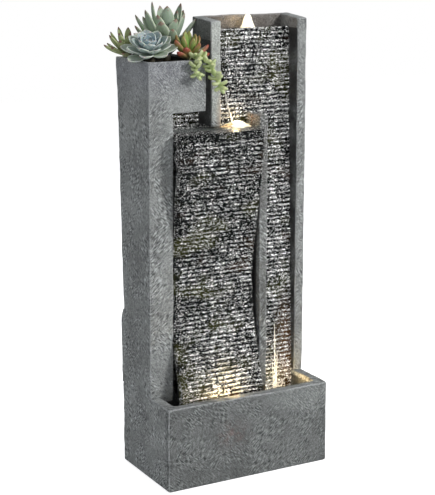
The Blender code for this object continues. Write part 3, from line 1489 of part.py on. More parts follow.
def build():
    clear_scene()
    resin = paint("cement_resin", (0.30, 0.31, 0.315), 0.85)
    wet_resin = paint("wet_resin", (0.05, 0.05, 0.045), 0.30)
    black_plastic = paint("black_plastic", (0.02, 0.02, 0.022), 0.45)
    hose_plastic = paint("hose_plastic", (0.55, 0.57, 0.58), 0.35)
    lens_plastic = paint("lens_plastic", (0.95, 0.85, 0.60), 0.15)
    rubber = paint("rubber", (0.015, 0.015, 0.015), 0.70)
    steel = paint("steel", (0.60, 0.60, 0.60), 0.30, 1.0)
    earth = paint("earth", (0.045, 0.030, 0.020), 0.95)
    greens = (
        paint("grey_green_leaves", (0.28, 0.38, 0.27), 0.55),
        paint("blue_grey_leaves", (0.36, 0.46, 0.46), 0.60),
        paint("red_tipped_leaves", (0.36, 0.42, 0.12), 0.45),
        paint("olive_leaves", (0.32, 0.36, 0.14), 0.50),
        paint("reddish_leaves", (0.33, 0.17, 0.13), 0.50),
        paint("pale_green_leaves", (0.55, 0.68, 0.33), 0.45),
    )

    basin(resin)
    planter_column(resin)
    tower_back_panel(resin)
    tower_right_wall(resin)
    tower_left_post(resin)
    rear_housing(resin)
    access_door(resin)
    for number, (x, z) in enumerate(screw_places(), 1):
        door_screw(number, x, z, steel)
    water_wall(wet_resin)
    divider_post(resin)
    middle_slab(wet_resin)
    middle_trough(resin)
    middle_back_wall(wet_resin)
    upper_trough(resin)

    for which, floor in (("upper", UPPER_TROUGH_WALL), ("middle", TROUGH_WALL)):
        foot = nozzle_foot(which)
        under = foot.z + NOZZLE_COLLAR + GAP
        nozzle(f"{which}_nozzle", foot.x, foot.y, under, floor, black_plastic)
        radius = UPPER_LAMP_RADIUS if which == "upper" else MIDDLE_LAMP_RADIUS
        seat = under + floor + GAP
        ring_lamp(f"{which}_lamp", foot.x, foot.y, seat, radius, black_plastic, lens_plastic)
    y = FRONT + FRONT_WALL + SPOT_LAMP_RADIUS + 2 * GAP
    spot_lamp("slab_lamp", LEFT + SLAB_LAMP_PLACE, y, "front", black_plastic, lens_plastic)
    x = TOWER_INNER_RIGHT - SPOT_LAMP_RADIUS - 2 * GAP
    y = FRONT + CHANNEL_LAMP_SETBACK
    spot_lamp("channel_lamp", x, y, "right", black_plastic, lens_plastic)

    pump_body(black_plastic)
    strainer_cover(black_plastic)
    flow_dial(hose_plastic)
    impeller(hose_plastic)
    impeller_shaft(steel)
    middle = pump_middle()
    inset = FOOT_RADIUS + SLIP
    number = 0
    for x in (middle.x + inset, middle.x + PUMP_LENGTH - inset):
        for y in (middle.y - PUMP_BREADTH / 2 + inset, middle.y + PUMP_BREADTH / 2 - inset):
            number += 1
            suction_foot(number, x, y, rubber)
    hose_tee(black_plastic)
    hoses(hose_plastic)
    leads(rubber, black_plastic)
    cable_gland(black_plastic)
    drain_plug(rubber)
    planter_liner(black_plastic)
    potting_soil(earth)
    plants(greens)


build()
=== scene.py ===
"""Looks of the wall fountain: cement resin, running water, warm lamps and a planter of succulents.

Metres, +Z up. The front faces -Y and the right side faces +X, as in the frame.
"""

import math

import bmesh
import bpy
import numpy as np
from mathutils import Matrix, Vector


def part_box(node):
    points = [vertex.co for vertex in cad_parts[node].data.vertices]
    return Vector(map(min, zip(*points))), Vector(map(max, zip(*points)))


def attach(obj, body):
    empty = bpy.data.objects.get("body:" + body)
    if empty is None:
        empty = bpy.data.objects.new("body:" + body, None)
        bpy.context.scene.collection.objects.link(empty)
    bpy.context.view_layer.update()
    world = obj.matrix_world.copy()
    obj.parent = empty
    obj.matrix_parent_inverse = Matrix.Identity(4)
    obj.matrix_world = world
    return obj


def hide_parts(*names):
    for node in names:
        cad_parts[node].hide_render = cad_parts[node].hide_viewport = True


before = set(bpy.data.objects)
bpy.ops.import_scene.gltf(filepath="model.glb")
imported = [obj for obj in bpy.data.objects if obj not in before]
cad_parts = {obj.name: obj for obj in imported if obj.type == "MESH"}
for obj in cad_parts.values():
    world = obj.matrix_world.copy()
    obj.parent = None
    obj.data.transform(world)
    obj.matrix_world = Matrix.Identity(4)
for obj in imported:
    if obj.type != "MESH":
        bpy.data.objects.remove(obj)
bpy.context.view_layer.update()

# Places in the frame
BASIN_LOW, BASIN_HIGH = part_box("basin")
SLAB_LOW, SLAB_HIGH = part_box("middle_slab")
DIVIDER_LOW, DIVIDER_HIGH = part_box("divider_post")
WALL_LOW, WALL_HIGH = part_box("water_wall")
SHELF_LOW, SHELF_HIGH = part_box("middle_back_wall")
TROUGH_LOW, TROUGH_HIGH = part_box("middle_trough")
UPPER_LOW, UPPER_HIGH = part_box("upper_trough")
POST_LOW, POST_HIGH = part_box("tower_left_post")
LEFT = BASIN_LOW.x
RIGHT = BASIN_HIGH.x
FRONT = BASIN_LOW.y
RIM_TOP = BASIN_HIGH.z
PLANTER_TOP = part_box("planter_column")[1].z
BASIN_WALL = 0.022

# The castings that are all resin, and the pieces that slide or lift out or turn
CASTINGS = (
    "basin", "planter_column", "tower_back_panel", "tower_right_wall", "tower_left_post", "rear_housing",
)
MOVING = ("access_door", "drain_plug", "planter_liner", "potting_soil", "flow_dial")

# How the castings wander: cell, reach and seed of each wave
CASTING_WAVES = ((0.06, 0.001, 50), (0.018, 0.0008, 60), (0.008, 0.0003, 70))
CASTING_CELL = 0.009

# Where the castings are painted dark, partly as wet faces and partly as painted shade: corners of a box,
# softness of its edge and share
WET_AND_SHADE_BOXES = (
    ((LEFT + BASIN_WALL - 0.001, FRONT + 0.018, 0.0),
     (RIGHT - BASIN_WALL + 0.001, 0.094, 0.176), 0.0025, 1.0),
    ((WALL_LOW.x - 0.001, -0.003, 0.19), (WALL_HIGH.x + 0.001, 0.076, 0.972), 0.0015, 1.0),
    ((-0.147, -0.02, 0.19), (DIVIDER_LOW.x + 0.001, 0.076, 0.7695), 0.0015, 1.0),
    # The last two boxes are painted shade on the left face of the tower's left post, beside the planter
    ((POST_LOW.x - 0.002, -0.004, 0.76), (POST_LOW.x + 0.001, 0.08, 0.955), 0.0015, 1.0),
    ((POST_LOW.x - 0.002, -0.004, 0.955), (POST_LOW.x + 0.001, 0.08, 1.01), 0.0015, 0.55),
)

# The ridged walls
RIDGE_PITCH = 0.0095
RIDGE_DEPTH = 0.0028
WALL_SPLIT = 0.7725
NOTCH_TOP = 0.177
WALL_TOP_FRONT = FRONT + 0.147
WALL_FOOT_FRONT = FRONT + 0.119
WINDOW_FRONT = FRONT + 0.1635
SLAB_FRONT = SLAB_LOW.y
SLAB_BOW = 0.048
SLAB_BOW_POWER = 2.0
SLAB_BOW_SKEW = 0.756

# Water and soil
BASIN_WATER = 0.15
MIDDLE_WATER = 0.7655
UPPER_WATER = 0.9695
SOIL_TOP = 0.906
FILM_CELL = 0.0014
FILM_BACK = 0.0045
INSET = 0.0004

# Lamplight that the films carry: centre, reach and strength
TOWER_GLOWS = (
    ((-0.004, 0.015, 0.785), (0.06, 0.06, 0.085), 0.45),
    ((0.12, -0.002, 0.165), (0.05, 0.06, 0.15), 0.6),
)
SLAB_GLOWS = (
    ((-0.034, SLAB_FRONT, 0.196), (0.064, 0.08, 0.078), 2.1),
    ((-0.034, SLAB_FRONT, 0.18), (0.1, 0.08, 0.14), 0.4),
)
SLAB_BARE = ((SLAB_LOW.x, SLAB_FRONT, 0.715), (0.024, 0.08, 0.14))

# The lit bell of water over the upper lamp: share of its height and radius
BELL_HEIGHT = 0.033
BELL = (
    (0.0, 0.0185), (0.12, 0.016), (0.24, 0.014), (0.37, 0.0123), (0.5, 0.0109), (0.62, 0.0096),
    (0.74, 0.0083), (0.84, 0.0069), (0.92, 0.0054), (0.98, 0.0032), (1.0, 0.0012),
)

# Camera of the photograph
CAMERA_PLACE = (-1.5034, -2.67745, 1.2293)
CAMERA_TILT = math.radians(76.604)
CAMERA_YAW = math.radians(-28.998)
CAMERA_LENS = 103.97

# Colours
BLACK = (0.0, 0.0, 0.0)
WHITE = (1.0, 1.0, 1.0)
WARM = (1.0, 0.72, 0.36)
LIT_WATER = (1.0, 0.9, 0.66)


class Nodes:
    """Short ways to add nodes to the tree of a material or a world."""

    def __init__(self, owner):
        owner.use_nodes = True
        self.tree = owner.node_tree
        self.tree.nodes.clear()

    def add(self, kind, *inputs, **settings):
        """A node with its settings and its first inputs."""
        node = self.tree.nodes.new(kind)
        for key, value in settings.items():
            setattr(node, key, value)
        for socket, value in zip(node.inputs, inputs):
            self.feed(socket, value)
        return node

    def feed(self, target, value):
        """Links a socket, or sets a number, a vector or a colour on it."""
        if isinstance(value, bpy.types.NodeSocket):
            self.tree.links.new(value, target)
        elif isinstance(value, tuple) and len(target.default_value) == 4:
            target.default_value = (*value, 1.0)
        else:
            target.default_value = value

    def math(self, operation, first, *others):
        """One operation on several values, from left to right."""
        for other in others:
            first = self.add("ShaderNodeMath", first, other, operation=operation).outputs[0]
        return first

    def seen(self):
        """1 for what the camera sees, also through water, and 0 for other light."""
        rays = self.add("ShaderNodeLightPath").outputs
        return self.math("MAXIMUM", rays["Is Camera Ray"], rays["Is Transmission Ray"])


class Paint(Nodes):
    """A material and short ways to paint it. Its colour is what has been laid on so far."""

    def __init__(self, name):
        self.material = bpy.data.materials.new(name)
        super().__init__(self.material)
        self.shader = self.add("ShaderNodeBsdfPrincipled")
        self.output = self.add("ShaderNodeOutputMaterial", self.shader.outputs[0])
        self.place = self.add("ShaderNodeTexCoord").outputs["Object"]
        self.x, self.y, self.z = self.add("ShaderNodeSeparateXYZ", self.place).outputs
        self.colour = None

    def set(self, **values):
        """Feeds the shader's inputs, with _ for a space in their names."""
        for key, value in values.items():
            self.feed(self.shader.inputs[key.replace("_", " ")], value)

    def times(self, *values):
        return self.math("MULTIPLY", *values)

    def plus(self, *values):
        return self.math("ADD", *values)

    def either(self, *values):
        return self.math("MAXIMUM", *values)

    def vectors(self, operation, *values):
        return self.add("ShaderNodeVectorMath", *values, operation=operation).outputs

    def step(self, value, low, high, start=0.0, end=1.0):
        """A value from start to end as another goes from low to high."""
        node = self.add("ShaderNodeMapRange", value, low, high, start, end, interpolation_type="SMOOTHSTEP")
        return node.outputs[0]

    def inside(self, low, high, soft):
        """1 in a box and 0 outside it."""
        shares = []
        for value, start, end in zip((self.x, self.y, self.z), low, high):
            shares.append(self.step(value, start - soft, start + soft))
            shares.append(self.step(value, end - soft, end + soft, 1.0, 0.0))
        return self.times(*shares)

    def spot(self, centre, reach, share=1.0):
        """A share at a point, falling to 0 at a distance, which may differ along each axis."""
        away = self.vectors("SUBTRACT", self.place, centre)[0]
        scaled = self.vectors("DIVIDE", away, reach)[0]
        return self.step(self.vectors("LENGTH", scaled)["Value"], 0.0, 1.0, share, 0.0)

    def noise(self, scale, detail=2.0, rough=0.5, place=None, distortion=0.0):
        """Noise at a scale, which may differ along each axis."""
        if isinstance(scale, tuple):
            place = self.vectors("MULTIPLY", self.place, scale)[0]
            scale = 1.0
        node = self.add("ShaderNodeTexNoise", place or self.place)
        values = {"Scale": scale, "Detail": detail, "Roughness": rough, "Distortion": distortion}
        for key, value in values.items():
            node.inputs[key].default_value = value
        return node.outputs["Fac"]

    def hatch(self, across, along, lean):
        """Fine strokes that run at 45 degrees up a wall, one way or the other."""
        run = self.plus(self.x, self.y)
        narrow = self.plus(run, self.times(self.z, lean))
        long = self.plus(run, self.times(self.z, -lean))
        place = self.add("ShaderNodeCombineXYZ", self.times(narrow, across), self.times(long, along))
        return self.noise(1.0, 0.6, 0.5, place.outputs[0])

    def mix(self, share, first, second, how="MIX"):
        node = self.add("ShaderNodeMix", share, data_type="RGBA", blend_type=how)
        self.feed(node.inputs[6], first)
        self.feed(node.inputs[7], second)
        return node.outputs[2]

    def coat(self, share, colour, how="MIX"):
        """Lays a colour over what is there."""
        self.colour = self.mix(share, self.colour, colour, how)

    def bump(self, height, distance, strength=1.0):
        node = self.add("ShaderNodeBump", strength, distance)
        self.feed(node.inputs["Height"], height)
        self.feed(self.shader.inputs["Normal"], node.outputs[0])

    def attribute(self, name):
        return self.add("ShaderNodeAttribute", attribute_name=name).outputs["Fac"]


def shade(colour, share):
    return tuple(share * value for value in colour)


def cement(name, base=(0.335, 0.352, 0.35), splash=None):
    """Grey cement-look resin: mottled, finely cross-hatched, scratched and worn at the edges.

    Splash is the height where wet flecked resin starts, the height where it is full and its share
    of flecks.
    """
    paint = Paint(name)
    mottle = paint.noise(11.0, 5.0, 0.62)
    patch = paint.noise(48.0, 4.0, 0.6)
    dapple = paint.noise(130.0, 4.0, 0.7)
    grit = paint.noise(420.0, 2.0, 0.7)
    grain = paint.noise(520.0, 2.0, 0.6)
    paint.colour = paint.mix(paint.step(mottle, 0.32, 0.68), shade(base, 0.58), shade(base, 1.3))
    paint.coat(paint.step(patch, 0.35, 0.75, 0.0, 0.35), base)
    paint.coat(paint.step(dapple, 0.56, 0.7, 0.0, 0.5), (0.56, 0.59, 0.6))
    paint.coat(paint.step(dapple, 0.45, 0.33, 0.0, 0.6), (0.08, 0.088, 0.09))

    # Pale strokes and dark pits, which lean one way or the other, and scratches
    way = paint.step(paint.noise(8.0, 1.0), 0.46, 0.54)
    first = paint.times(paint.hatch(270.0, 72.0, 1.0), paint.plus(1.0, paint.times(way, -1.0)))
    hatching = paint.plus(first, paint.times(paint.hatch(250.0, 64.0, -1.0), way))
    near = paint.step(paint.noise(20.0, 3.0, 0.65), 0.38, 0.58, 0.15, 1.0)
    near = paint.times(near, paint.step(paint.z, PLANTER_TOP - 0.12, PLANTER_TOP - 0.07, 1.0, 0.55))
    paint.coat(paint.times(paint.step(hatching, 0.53, 0.64), near, 0.85), (0.72, 0.76, 0.76))
    paint.coat(paint.times(paint.step(hatching, 0.47, 0.36), near, 0.9), (0.04, 0.046, 0.047))
    paint.coat(paint.step(paint.hatch(170.0, 16.0, 1.0), 0.74, 0.79, 0.0, 0.5), (0.74, 0.76, 0.77))
    paint.coat(paint.step(grain, 0.36, 0.68, 0.0, 0.3), (0.56, 0.57, 0.57))
    # Painted shade: the basin's front is darker below its rim
    low = paint.step(paint.z, 0.2, 0.18, 0.0, 0.42)
    paint.coat(paint.times(low, paint.step(paint.y, FRONT + 0.02, FRONT + 0.004)), (0.045, 0.052, 0.05))

    # Pale ragged patches on the front of the tower's left post
    corners = ((POST_LOW.x, POST_LOW.y - 0.003, 0.78), (POST_HIGH.x + 0.001, POST_LOW.y + 0.003, 1.0))
    pale_post_front = paint.inside(*corners, 0.001)
    paint.coat(paint.times(pale_post_front, paint.step(patch, 0.3, 0.55, 0.35, 0.75)), (0.74, 0.78, 0.74))
    # Painted light on the column below the planter, over the shadow that falls there
    paint.coat(paint.spot((-0.11, -0.04, 0.74), (0.085, 0.025, 0.16), 0.62), (0.7, 0.74, 0.73))
    # Painted light on the upper right of the basin's front
    paint.coat(paint.spot((0.125, FRONT, 0.165), (0.13, 0.03, 0.06), 0.3), (0.62, 0.66, 0.65))

    # Lavender bloom at the planter's top and a rusty stain on the basin's front
    bloom = paint.times(paint.step(paint.z, 0.8, 0.92, 0.0, 0.28), paint.step(paint.x, -0.045, -0.06))
    paint.coat(bloom, (0.4, 0.41, 0.5))
    rust = paint.step(paint.noise(60.0, 4.0, 0.7), 0.42, 0.66, 0.0, 0.38)
    paint.coat(paint.times(paint.spot((-0.045, FRONT, 0.105), (0.06, 0.05, 0.05)), rust), (0.3, 0.16, 0.14))

    # Rounded edges are worn pale
    normal = paint.add("ShaderNodeNewGeometry").outputs["True Normal"]
    sizes = [paint.math("ABSOLUTE", part, 0.0) for part in paint.add("ShaderNodeSeparateXYZ", normal).outputs]
    worn = paint.step(paint.either(*sizes), 0.975, 0.9)
    paint.coat(paint.times(worn, paint.step(patch, 0.35, 0.6, 0.25, 1.0)), (0.55, 0.57, 0.58))

    # A brown stain in the upper trough, and dark faces in the basin, the troughs and the tower, partly wet
    # and partly painted shade
    stained = paint.inside((WALL_LOW.x - 0.001, 0.0, 0.967), (WALL_HIGH.x + 0.001, 0.0776, 1.1), 0.003)
    paint.coat(paint.times(stained, 0.45), (0.16, 0.1, 0.065))
    # The boxes darken the faces where they are wet and where shade falls, as painted shade
    wet = [paint.times(paint.inside(low, high, soft), share) for low, high, soft, share in WET_AND_SHADE_BOXES]
    wet = paint.times(paint.either(*wet), paint.step(patch, 0.2, 0.45, 0.8, 1.0))
    paint.coat(paint.times(wet, 0.94), (0.007, 0.007, 0.007))
    paint.coat(1.0, paint.step(grit, 0.3, 0.7, 0.68, 1.38), "MULTIPLY")
    rough = paint.plus(paint.step(grain, 0.2, 0.8, 0.78, 0.98), paint.times(wet, -0.4))

    # Lamplight on the divider's top and on the tower's left post
    lamp_lit = paint.spot((DIVIDER_LOW.x, -0.004, DIVIDER_HIGH.z - 0.008), (0.012, 0.03, 0.02))
    paint.coat(paint.times(lamp_lit, paint.step(dapple, 0.3, 0.6, 0.3, 1.0)), (0.85, 0.36, 0.12))
    paint.coat(paint.spot((POST_HIGH.x, POST_LOW.y, 0.795), (0.026, 0.03, 0.07), 0.75), (0.86, 0.66, 0.46))

    if splash:
        start, full, flecks = splash
        reach = paint.step(paint.z, start, full)
        damp = paint.step(paint.noise(90.0, 3.0), 0.3, 0.5, 0.0, 0.8832)
        paint.coat(paint.times(damp, reach), (0.05, 0.05, 0.045))
        fleck = paint.step(paint.noise((430.0, 430.0, 300.0), 3.0, 0.6), 0.515, 0.575, 0.0, flecks)
        paint.coat(paint.times(fleck, reach), (0.92, 0.93, 0.93))
        rough = paint.plus(rough, paint.times(reach, -0.45))
    paint.set(Base_Color=paint.colour, Roughness=rough)
    layers = ((mottle, 3.0), (patch, 2.2), (dapple, 1.2), (hatching, 1.5), (grain, 0.4), (grit, 2.0))
    paint.bump(paint.plus(*(paint.times(*layer) for layer in layers)), 0.0022)
    return paint.material


def wet_ridges(name, foam=1.0, lines=1.0, glint=0.6, top=2.0, top_dark=0.0, glows=(), bare=None):
    """Near-black wet resin under running water, with olive and brown tints and white flecks, partly foam and
    partly painted glints.

    The attribute crest is 1 on the ridge tips and 0 in the grooves. Lines is how pale the tips
    are, glint how the flecks shine, and top_dark how much rarer they get up to the height top.
    Each of glows is a centre, a reach and a strength of lamplight that the water carries. No foam
    lies round bare, a centre and a reach.
    """
    paint = Paint(name)
    crest = paint.attribute("crest")
    broad = paint.noise(14.0, 3.0, 0.6)
    tint = paint.noise((9.0, 9.0, 14.4), 3.0)
    paint.colour = paint.mix(paint.step(broad, 0.35, 0.65), (0.004, 0.005, 0.005), (0.014, 0.015, 0.016))
    paint.coat(paint.step(tint, 0.5, 0.66, 0.0, 0.9), (0.044, 0.046, 0.016))
    paint.coat(paint.step(tint, 0.42, 0.28, 0.0, 0.7), (0.06, 0.034, 0.02))
    paint.coat(paint.spot((WALL_HIGH.x - 0.01, 0.0, 0.25), (0.05, 0.08, 0.16), 0.75), (0.15, 0.075, 0.03))
    tip = paint.math("POWER", crest, 2.2)
    paint.coat(paint.times(tip, 0.55 * lines), (0.15, 0.158, 0.155))

    # White grains of 1 to 2 mm, partly foam and partly painted glints, that gather on the ridges, in clumps
    # and in falling streaks
    amount = paint.plus(
        paint.step(paint.noise(55.0, 4.0, 0.75), 0.32, 0.68, -0.05, 0.05),
        paint.step(paint.noise((170.0, 170.0, 14.0)), 0.35, 0.7, -0.015, 0.02),
        paint.times(paint.plus(tip, -0.45), 0.17),
        0.025 * (foam - 1.0),
        paint.step(paint.z, 0.25, top, 0.0, -top_dark),
    )
    grain = paint.plus(paint.noise((570.0, 570.0, 600.0), 0.0), amount)
    spark = paint.plus(paint.noise((700.0, 700.0, 780.0), 0.0), amount)
    flecks = paint.step(grain, 0.655, 0.685)
    sparks = paint.step(spark, 0.695, 0.725)
    if bare:
        covered = paint.step(paint.spot(*bare), 0.1, 0.45, 1.0, 0.0)
        flecks = paint.times(flecks, covered)
        sparks = paint.times(sparks, covered)
    white = paint.either(flecks, sparks)
    veil = paint.mix(paint.step(tint, 0.46, 0.62), (0.31, 0.325, 0.325), (0.25, 0.245, 0.17))
    paint.coat(paint.times(paint.step(grain, 0.5, 0.78), tip), veil)
    paint.coat(white, (0.96, 0.97, 0.96))

    # The flecks shine, and the water carries the lamps' light
    light = paint.mix(flecks, BLACK, shade(WHITE, glint))
    light = paint.mix(sparks, light, shade(WHITE, 3.0 * glint))
    carried = paint.plus(paint.times(paint.either(white, paint.times(crest, 0.85)), 0.92), 0.08)
    for glow in glows:
        share = paint.times(paint.spot(*glow), carried)
        light = paint.mix(1.0, light, paint.mix(share, BLACK, (1.0, 0.88, 0.62)), "ADD")
    rough = paint.step(white, 0.0, 1.0, 0.22, 0.45)
    paint.set(Base_Color=paint.colour, Roughness=rough, Specular_IOR_Level=0.1)
    paint.set(Emission_Color=light, Emission_Strength=1.0)
    ripple = paint.noise((300.0, 300.0, 220.0), 3.0, 0.6)
    paint.bump(paint.plus(paint.times(ripple, 0.8), paint.times(white, 0.5)), 0.0012, 0.8)
    return paint.material


def plastic(name, colour, rough, grain=900.0, dusty=(0.2, 0.2, 0.2), share=0.12):
    """Moulded plastic with a fine grain and a film of lime."""
    paint = Paint(name)
    film = paint.noise(70.0, 4.0, 0.6)
    paint.set(
        Base_Color=paint.mix(paint.step(film, 0.45, 0.75, 0.0, share), colour, dusty),
        Roughness=paint.step(film, 0.3, 0.7, rough, rough + 0.2),
    )
    paint.bump(paint.noise(grain), 0.0003, 0.5)
    return paint.material


def metal(name):
    paint = Paint(name)
    brushed = paint.noise((2500.0, 300.0, 2500.0), 3.0, 0.6)
    paint.set(
        Base_Color=paint.mix(brushed, (0.5, 0.5, 0.49), (0.68, 0.68, 0.67)),
        Roughness=paint.step(brushed, 0.3, 0.7, 0.22, 0.42),
        Metallic=1.0,
    )
    paint.bump(brushed, 0.0001, 0.5)
    return paint.material


def lens(name):
    """A frosted lens lit from inside, warmer in places."""
    paint = Paint(name)
    frost = paint.noise(500.0)
    glow = paint.mix(paint.step(frost, 0.3, 0.7), (1.0, 0.8, 0.5), (1.0, 0.9, 0.68))
    paint.set(Base_Color=(0.9, 0.85, 0.7), Roughness=0.25, Emission_Color=glow, Emission_Strength=3.0)
    paint.bump(frost, 0.0003, 0.4)
    return paint.material


def soil(name):
    paint = Paint(name)
    lumps = paint.add("ShaderNodeTexVoronoi", paint.place)
    lumps.inputs["Scale"].default_value = 260.0
    broad = paint.noise(90.0, 4.0, 0.6)
    paint.colour = paint.mix(paint.step(broad, 0.35, 0.65), (0.02, 0.015, 0.011), (0.075, 0.05, 0.032))
    paint.coat(paint.step(paint.noise(600.0, 1.0), 0.68, 0.72), (0.3, 0.26, 0.2))
    paint.set(Base_Color=paint.colour, Roughness=0.95)
    paint.bump(paint.plus(lumps.outputs["Distance"], broad), 0.004)
    return paint.material


LEAF_VALUES = ("along", "across", "tone", "age")


def leaf_paint(
    name, inner, outer, edge, tip, tip_start, bloom=0.15, rough=0.5, stem=(0.06, 0.05, 0.03), young=1.0
):
    """Succulent skin.

    The attributes are along (0 at the foot), across (0 at the rib, 1 at the margin), tone (one
    number for each leaf) and age (0 in the heart, 1 on the outer leaves, 2 on the short stem).
    Young is how much of the tip's colour the youngest leaves have.
    """
    paint = Paint(name)
    along, across, tone, age = (paint.attribute(key) for key in LEAF_VALUES)
    skin = paint.noise(140.0, 3.0, 0.6)
    fine = paint.noise(900.0, 2.0, 0.6)
    paint.colour = paint.mix(paint.step(age, 0.0, 1.0), inner, outer)
    paint.coat(paint.step(tone, 0.0, 1.0, 0.0, 0.5), shade(inner, 0.55))
    paint.coat(paint.step(along, 0.0, 0.45, 0.55, 0.0), shade(inner, 1.25))
    paint.coat(paint.step(across, 0.72, 0.98, 0.0, 0.75), edge)
    reach = paint.plus(along, paint.step(skin, 0.3, 0.7, -0.05, 0.05))
    paint.coat(paint.times(paint.step(reach, tip_start, 0.99), paint.step(age, 0.25, 0.75, young, 1.0)), tip)
    paint.coat(paint.step(skin, 0.4, 0.75, 0.0, bloom), (0.72, 0.78, 0.76))
    paint.coat(paint.step(age, 1.2, 1.8), stem)
    paint.set(
        Base_Color=paint.colour,
        Roughness=paint.step(fine, 0.3, 0.7, rough - 0.06, rough + 0.1),
        Subsurface_Weight=0.12,
        Subsurface_Radius=(0.004, 0.006, 0.002),
        Subsurface_Scale=0.6,
    )
    paint.bump(paint.plus(skin, paint.times(fine, 0.3)), 0.0004, 0.6)
    return paint.material


def clear_water(name):
    paint = Paint(name)
    paint.set(Base_Color=(0.8, 0.9, 0.88), Roughness=0.04, IOR=1.33, Transmission_Weight=0.85)
    ripple = paint.times(paint.noise(300.0), 0.4)
    paint.bump(paint.plus(paint.noise(75.0, 3.0, 0.55), ripple), 0.003, 0.9)
    return paint.material


def white_water(name, glow=None, strength=0.0):
    """Aerated water, which may carry a lamp's light."""
    paint = Paint(name)
    froth = paint.noise((330.0, 330.0, 150.0), 3.0, 0.6)
    colour = paint.mix(paint.step(froth, 0.35, 0.65), (0.62, 0.63, 0.62), (0.95, 0.95, 0.94))
    paint.set(Base_Color=colour, Roughness=0.18, Specular_IOR_Level=0.6)
    if glow:
        light = paint.mix(paint.step(froth, 0.3, 0.6), shade(glow, 0.72), glow)
        paint.set(Emission_Color=light, Emission_Strength=strength)
    paint.bump(froth, 0.001, 0.7)
    return paint.material


def lit_swirl(name):
    """Water that carries a lamp's warm light in broken swirls."""
    paint = Paint(name)
    swirl = paint.noise((110.0, 110.0, 260.0), 4.0, 0.7, None, 0.6)
    colour = paint.mix(paint.step(swirl, 0.4, 0.62), (0.08, 0.04, 0.015), (0.8, 0.62, 0.36))
    light = paint.mix(paint.step(swirl, 0.4, 0.6), (0.22, 0.08, 0.018), (1.0, 0.78, 0.42))
    paint.set(Base_Color=colour, Roughness=0.12, Emission_Color=light, Emission_Strength=0.7)
    paint.bump(swirl, 0.002, 0.8)
    return paint.material


def linked(name, data):
    """A new object in the scene."""
    item = bpy.data.objects.new(name, data)
    bpy.context.scene.collection.objects.link(item)
    return item


def new_object(name, points, faces, material, body="fountain", smooth=True, attributes=None):
    """A mesh piece that rides on a body, or on none."""
    mesh = bpy.data.meshes.new(name)
    mesh.from_pydata([tuple(point) for point in points], [], faces)
    mesh.materials.append(material)
    for key, values in (attributes or {}).items():
        layer = mesh.attributes.new(key, "FLOAT", "POINT")
        layer.data.foreach_set("value", np.asarray(values, np.float32))
    if smooth:
        mesh.shade_smooth()
    mesh.update()
    item = linked(name, mesh)
    if body:
        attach(item, body)
    return item


def grid(low, high, cell):
    """Places over a rectangle, row by row, and the faces between them."""
    wide, tall = (int((end - start) / cell) + 1 for start, end in zip(low, high))
    u, v = np.meshgrid(np.linspace(low[0], high[0], wide), np.linspace(low[1], high[1], tall))
    corners = [i for i in range(wide * (tall - 1)) if (i + 1) % wide]
    return u, v, [(i, i + 1, i + wide + 1, i + wide) for i in corners]


def turns(sides):
    """The angles of equal steps round a circle."""
    return [2 * math.pi * i / sides for i in range(sides)]


def ring_faces(count, sides, first=0):
    """The faces between rings of points that follow one another."""
    faces = []
    for k in range(count - 1):
        for i in range(sides):
            a = first + k * sides + i
            b = first + k * sides + (i + 1) % sides
            faces.append((a, b, b + sides, a + sides))
    return faces


def smooth_noise(x, z, cell_x, cell_z, seed):
    """Smooth random numbers from 0 to 1 over a plane, with cells of a given size."""
    table = np.random.RandomState(seed).rand(64, 64)
    u = x / cell_x
    v = z / cell_z
    i = np.floor(u).astype(int)
    j = np.floor(v).astype(int)
    a = u - i
    b = v - j
    a = a * a * (3 - 2 * a)
    b = b * b * (3 - 2 * b)
    low = table[i % 64, j % 64] * (1 - a) + table[(i + 1) % 64, j % 64] * a
    high = table[i % 64, (j + 1) % 64] * (1 - a) + table[(i + 1) % 64, (j + 1) % 64] * a
    return low * (1 - b) + high * b


def between(value, low, low_value, high, high_value):
    return low_value + (high_value - low_value) * (value - low) / (high - low)


def wall_front(z):
    return between(z, NOTCH_TOP, WALL_FOOT_FRONT, WALL_HIGH.z, WALL_TOP_FRONT)


def slab_front(z):
    share = np.clip((z - RIM_TOP) / (SLAB_HIGH.z - RIM_TOP), 0.0, 1.0)
    return SLAB_FRONT + SLAB_BOW * np.sin(math.pi * share**SLAB_BOW_SKEW) ** SLAB_BOW_POWER


def window_front(z):
    return np.full_like(z, WINDOW_FRONT)


